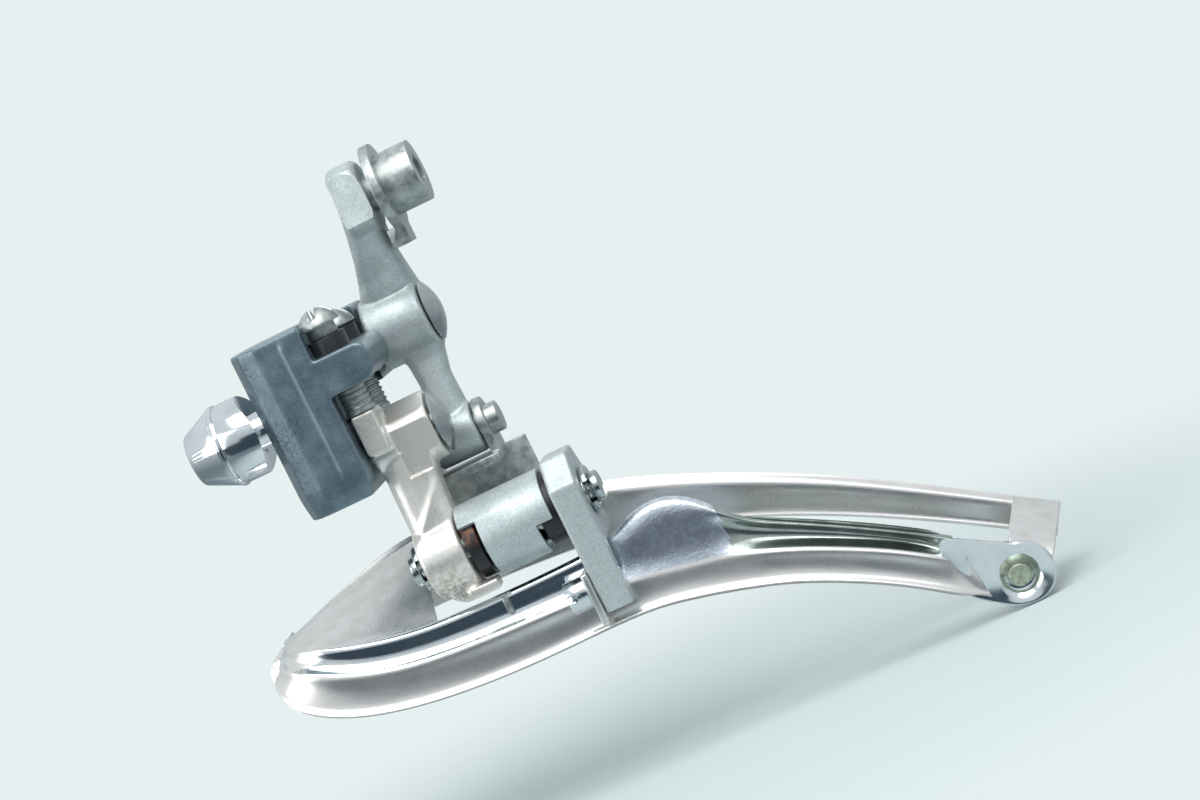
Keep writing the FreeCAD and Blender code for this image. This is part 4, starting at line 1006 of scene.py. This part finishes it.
@dataclass
class OuterCagePlate:
    """The shallow plate with its flared top lip, and the strap that closes the tail."""

    thick: float = 1.0
    along: int = 110
    across: int = 24
    strap_along: int = 30
    strap_across: int = 10
    stations: tuple[tuple[Point, Point], ...] = (
        ((12.3, -27.8), (12.3, -28.7)), ((9.6, -26.8), (10.8, -30.4)),
        ((5.3, -25.2), (6.0, -31.8)), ((-0.5, -23.7), (-2.0, -32.0)),
        ((-4.0, -22.6), (-6.0, -32.0)), ((-9.6, -21.8), (-10.0, -32.0)),
        ((-21.0, -22.4), (-21.0, -32.4)), ((-33.8, -25.9), (-32.0, -33.2)),
        ((-42.5, -29.0), (-41.0, -35.4)), ((-51.3, -32.9), (-49.0, -38.1)),
        ((-58.5, -36.4), (-57.0, -41.5)), ((-65.5, -40.2), (-64.5, -45.2)),
        ((-75.0, -46.1), (-72.8, -49.8)), ((-84.0, -51.9), (-80.8, -54.6)),
        ((-88.6, -54.8), (-86.6, -58.4)))
    profile: tuple[Point, ...] = ((0.0, -11.5), (0.05, -11.3), (0.12, -10.8), (0.2, -10.5),
                                  (0.45, -10.45), (0.7, -10.6), (0.92, -10.6), (1.0, -10.4))
    strap: tuple[tuple[Point3, Point3], ...] = (
        ((-83.2, -11.4, -51.5), (-88.7, -11.4, -54.8)),
        ((-83.3, -10.4, -51.6), (-88.7, -10.4, -54.9)),
        ((-82.6, -7.0, -52.4), (-87.9, -7.0, -55.6)),
        ((-81.4, -2.6, -53.8), (-86.6, -2.6, -57.0)),
        ((-80.9, -0.8, -54.6), (-86.1, -0.8, -57.9)),
        ((-80.2, 0.3, -56.2), (-85.0, 0.3, -59.2)),
        ((-79.4, 0.7, -58.2), (-83.8, 0.7, -60.9)))

    def build(self) -> None:
        """Presses the plate and its strap and rides them on the cage."""
        bm = bmesh.new()
        rows = []
        for top, low in self.stations:
            rows.append([Vector((top[0] + (low[0] - top[0]) * share, y,
                                 top[1] + (low[1] - top[1]) * share))
                         for share, y in self.profile])
        patch(bm, rows, self.along, self.across)
        face_inboard(bm)
        sheet_piece("outer_plate", bm, self.thick, Finishes.SATIN, ("outer_cage_plate",))
        strap = bmesh.new()
        rows = [[Vector(a).lerp(Vector(b), share) for share in (0.0, 0.1, 0.5, 0.9, 1.0)]
                for a, b in self.strap]
        patch(strap, rows, self.strap_along, self.strap_across)
        face_inboard(strap)
        sheet_piece("outer_plate_strap", strap, self.thick, Finishes.FROSTED, ())


# ---------------------------------------------------------------- studio


@dataclass
class Studio:
    """Pale floor and surroundings, soft lights and the camera."""

    pale: str = "e6f0f1"
    paper: str = "bcc6c7"
    room_low: str = "7d8a90"
    room_high: str = "e4eaec"
    dark: str = "3c4954"
    dark_blue: str = "33475a"
    spot: Point3 = (-0.102847, 0.436629, 0.022622)
    right: Point3 = (-0.893801, -0.087616, -0.439821)
    up: Point3 = (-0.426321, -0.138353, 0.893929)
    back: Point3 = (-0.139173, 0.986500, 0.086308)
    lens: float = 102.6
    centre: Point3 = (-0.04, -0.007, -0.016)
    floor_centre: Point3 = (-0.037, -0.005, -0.0632)
    floor_radius: float = 0.5
    fade: Point = (0.045, 0.13)

    def build(self) -> None:
        """Sets up the camera, lights, surroundings and floor."""
        self.camera()
        self.surroundings()
        self.floor()
        self.light("key", -0.16, 0.36, 0.30, 0.4, 1.9)
        self.light("side", -0.42, -0.05, 0.24, 0.3, 0.7)
        self.card("dark_card_low", (0.02, 0.60, -0.16), (0.42, 0.17), self.dark)
        self.card("dark_card_high", (-0.10, 0.62, 0.03), (0.22, 0.05), self.dark_blue)

    def camera(self) -> None:
        """Makes the camera."""
        data = bpy.data.cameras.new("camera")
        data.lens = self.lens
        data.sensor_width = 36.0
        data.clip_start = 0.01
        data.clip_end = 10.0
        made = bpy.data.objects.new("camera", data)
        bpy.context.scene.collection.objects.link(made)
        turn = Matrix((self.right, self.up, self.back)).transposed().to_4x4()
        made.matrix_world = Matrix.Translation(self.spot) @ turn
        bpy.context.scene.camera = made

    def surroundings(self) -> None:
        """Makes a plain pale world, which lights the object from a darker floor to a pale sky."""
        world = bpy.data.worlds.new("studio")
        world.use_nodes = True
        tree = world.node_tree
        tree.nodes.clear()
        way = add_node(tree, "ShaderNodeTexCoord").outputs["Generated"]
        height = add_node(tree, "ShaderNodeSeparateXYZ", inputs={0: way}).outputs["Z"]
        share = add_node(tree, "ShaderNodeMapRange", inputs={
            "Value": height, "From Min": -0.5, "From Max": 0.5}).outputs[0]
        room = add_node(tree, "ShaderNodeMix", {"data_type": "RGBA"}, {
            0: share, 6: linear(self.room_low), 7: linear(self.room_high)}).outputs[2]
        seen = add_node(tree, "ShaderNodeLightPath").outputs["Is Camera Ray"]
        colour = add_node(tree, "ShaderNodeMix", {"data_type": "RGBA"}, {
            0: seen, 6: room, 7: linear(self.pale)}).outputs[2]
        glow = add_node(tree, "ShaderNodeBackground", inputs={
            "Color": colour, "Strength": 1.0}).outputs[0]
        add_node(tree, "ShaderNodeOutputWorld", inputs={"Surface": glow})
        bpy.context.scene.world = world

    def floor(self) -> None:
        """Makes a round pale floor that fades into the surroundings."""
        bm = bmesh.new()
        bmesh.ops.create_circle(bm, cap_ends=True, segments=96, radius=self.floor_radius)
        bmesh.ops.translate(bm, vec=self.floor_centre, verts=bm.verts)
        mesh = bpy.data.meshes.new("floor")
        bm.to_mesh(mesh)
        bm.free()
        paper = bpy.data.materials.new("matt_paper")
        paper.use_nodes = True
        tree = paper.node_tree
        tree.nodes.clear()
        place = add_node(tree, "ShaderNodeTexCoord").outputs["Object"]
        away = add_node(tree, "ShaderNodeVectorMath", {"operation": "DISTANCE"}, {
            0: place, 1: self.floor_centre}).outputs["Value"]
        fade = add_node(tree, "ShaderNodeMapRange", {"interpolation_type": "SMOOTHSTEP"}, {
            "Value": away, "From Min": self.fade[0], "From Max": self.fade[1]}).outputs[0]
        matt = add_node(tree, "ShaderNodeBsdfPrincipled", inputs={
            "Base Color": linear(self.paper), "Roughness": 0.9}).outputs[0]
        clear = add_node(tree, "ShaderNodeBsdfTransparent").outputs[0]
        mixed = add_node(tree, "ShaderNodeMixShader", inputs={
            0: fade, 1: matt, 2: clear}).outputs[0]
        add_node(tree, "ShaderNodeOutputMaterial", inputs={"Surface": mixed})
        mesh.materials.append(paper)
        made = bpy.data.objects.new("floor", mesh)
        bpy.context.scene.collection.objects.link(made)

    def aim(self, across: float, rise: float, out: float) -> Matrix:
        """A place beside the camera's line, turned to face the object."""
        centre = Vector(self.centre)
        spot = (centre + Vector(self.right) * across + Vector(self.up) * rise
                + Vector(self.back) * out)
        turn = (spot - centre).to_track_quat("Z", "Y").to_matrix().to_4x4()
        return Matrix.Translation(spot) @ turn

    def light(self, name: str, across: float, rise: float, out: float, size: float,
              power: float) -> None:
        """Makes a square soft light beside the camera's line."""
        data = bpy.data.lights.new(name, "AREA")
        data.shape = "SQUARE"
        data.size = size
        data.energy = power
        made = bpy.data.objects.new(name, data)
        bpy.context.scene.collection.objects.link(made)
        made.matrix_world = self.aim(across, rise, out)

    def card(self, name: str, centre: Point3, half: Point, colour: str) -> None:
        """Makes a dark card that shows only in the chrome."""
        bm = bmesh.new()
        bmesh.ops.create_grid(bm, x_segments=2, y_segments=2, size=1.0)
        bmesh.ops.scale(bm, vec=(half[0], half[1], 1), verts=bm.verts)
        bmesh.ops.rotate(bm, cent=(0, 0, 0), matrix=Matrix.Rotation(math.pi / 2, 3, "X"),
                         verts=bm.verts)
        bmesh.ops.translate(bm, vec=centre, verts=bm.verts)
        mesh = bpy.data.meshes.new(name)
        bm.to_mesh(mesh)
        bm.free()
        felt = bpy.data.materials.new(name)
        felt.use_nodes = True
        tree = felt.node_tree
        tree.nodes.clear()
        glow = add_node(tree, "ShaderNodeEmission", inputs={
            "Color": linear(colour), "Strength": 1.0}).outputs[0]
        add_node(tree, "ShaderNodeOutputMaterial", inputs={"Surface": glow})
        mesh.materials.append(felt)
        made = bpy.data.objects.new(name, mesh)
        bpy.context.scene.collection.objects.link(made)
        made.visible_camera = False
        made.visible_diffuse = False
        made.visible_shadow = False


def main() -> None:
    """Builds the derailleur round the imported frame."""
    logging.basicConfig(level=logging.INFO, format="%(message)s")
    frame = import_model()
    Studio().build()
    nodes = frame["nodes"]
    Hardware(nodes).build()
    MountBody().build()
    InnerLink().build()
    OuterLink().build()
    RearFlange(nodes["rear_flange"]).build()
    InnerCagePlate().build()
    OuterCagePlate().build()
    bpy.context.scene.view_settings.view_transform = "Standard"


if __name__ == "__main__":
    main()
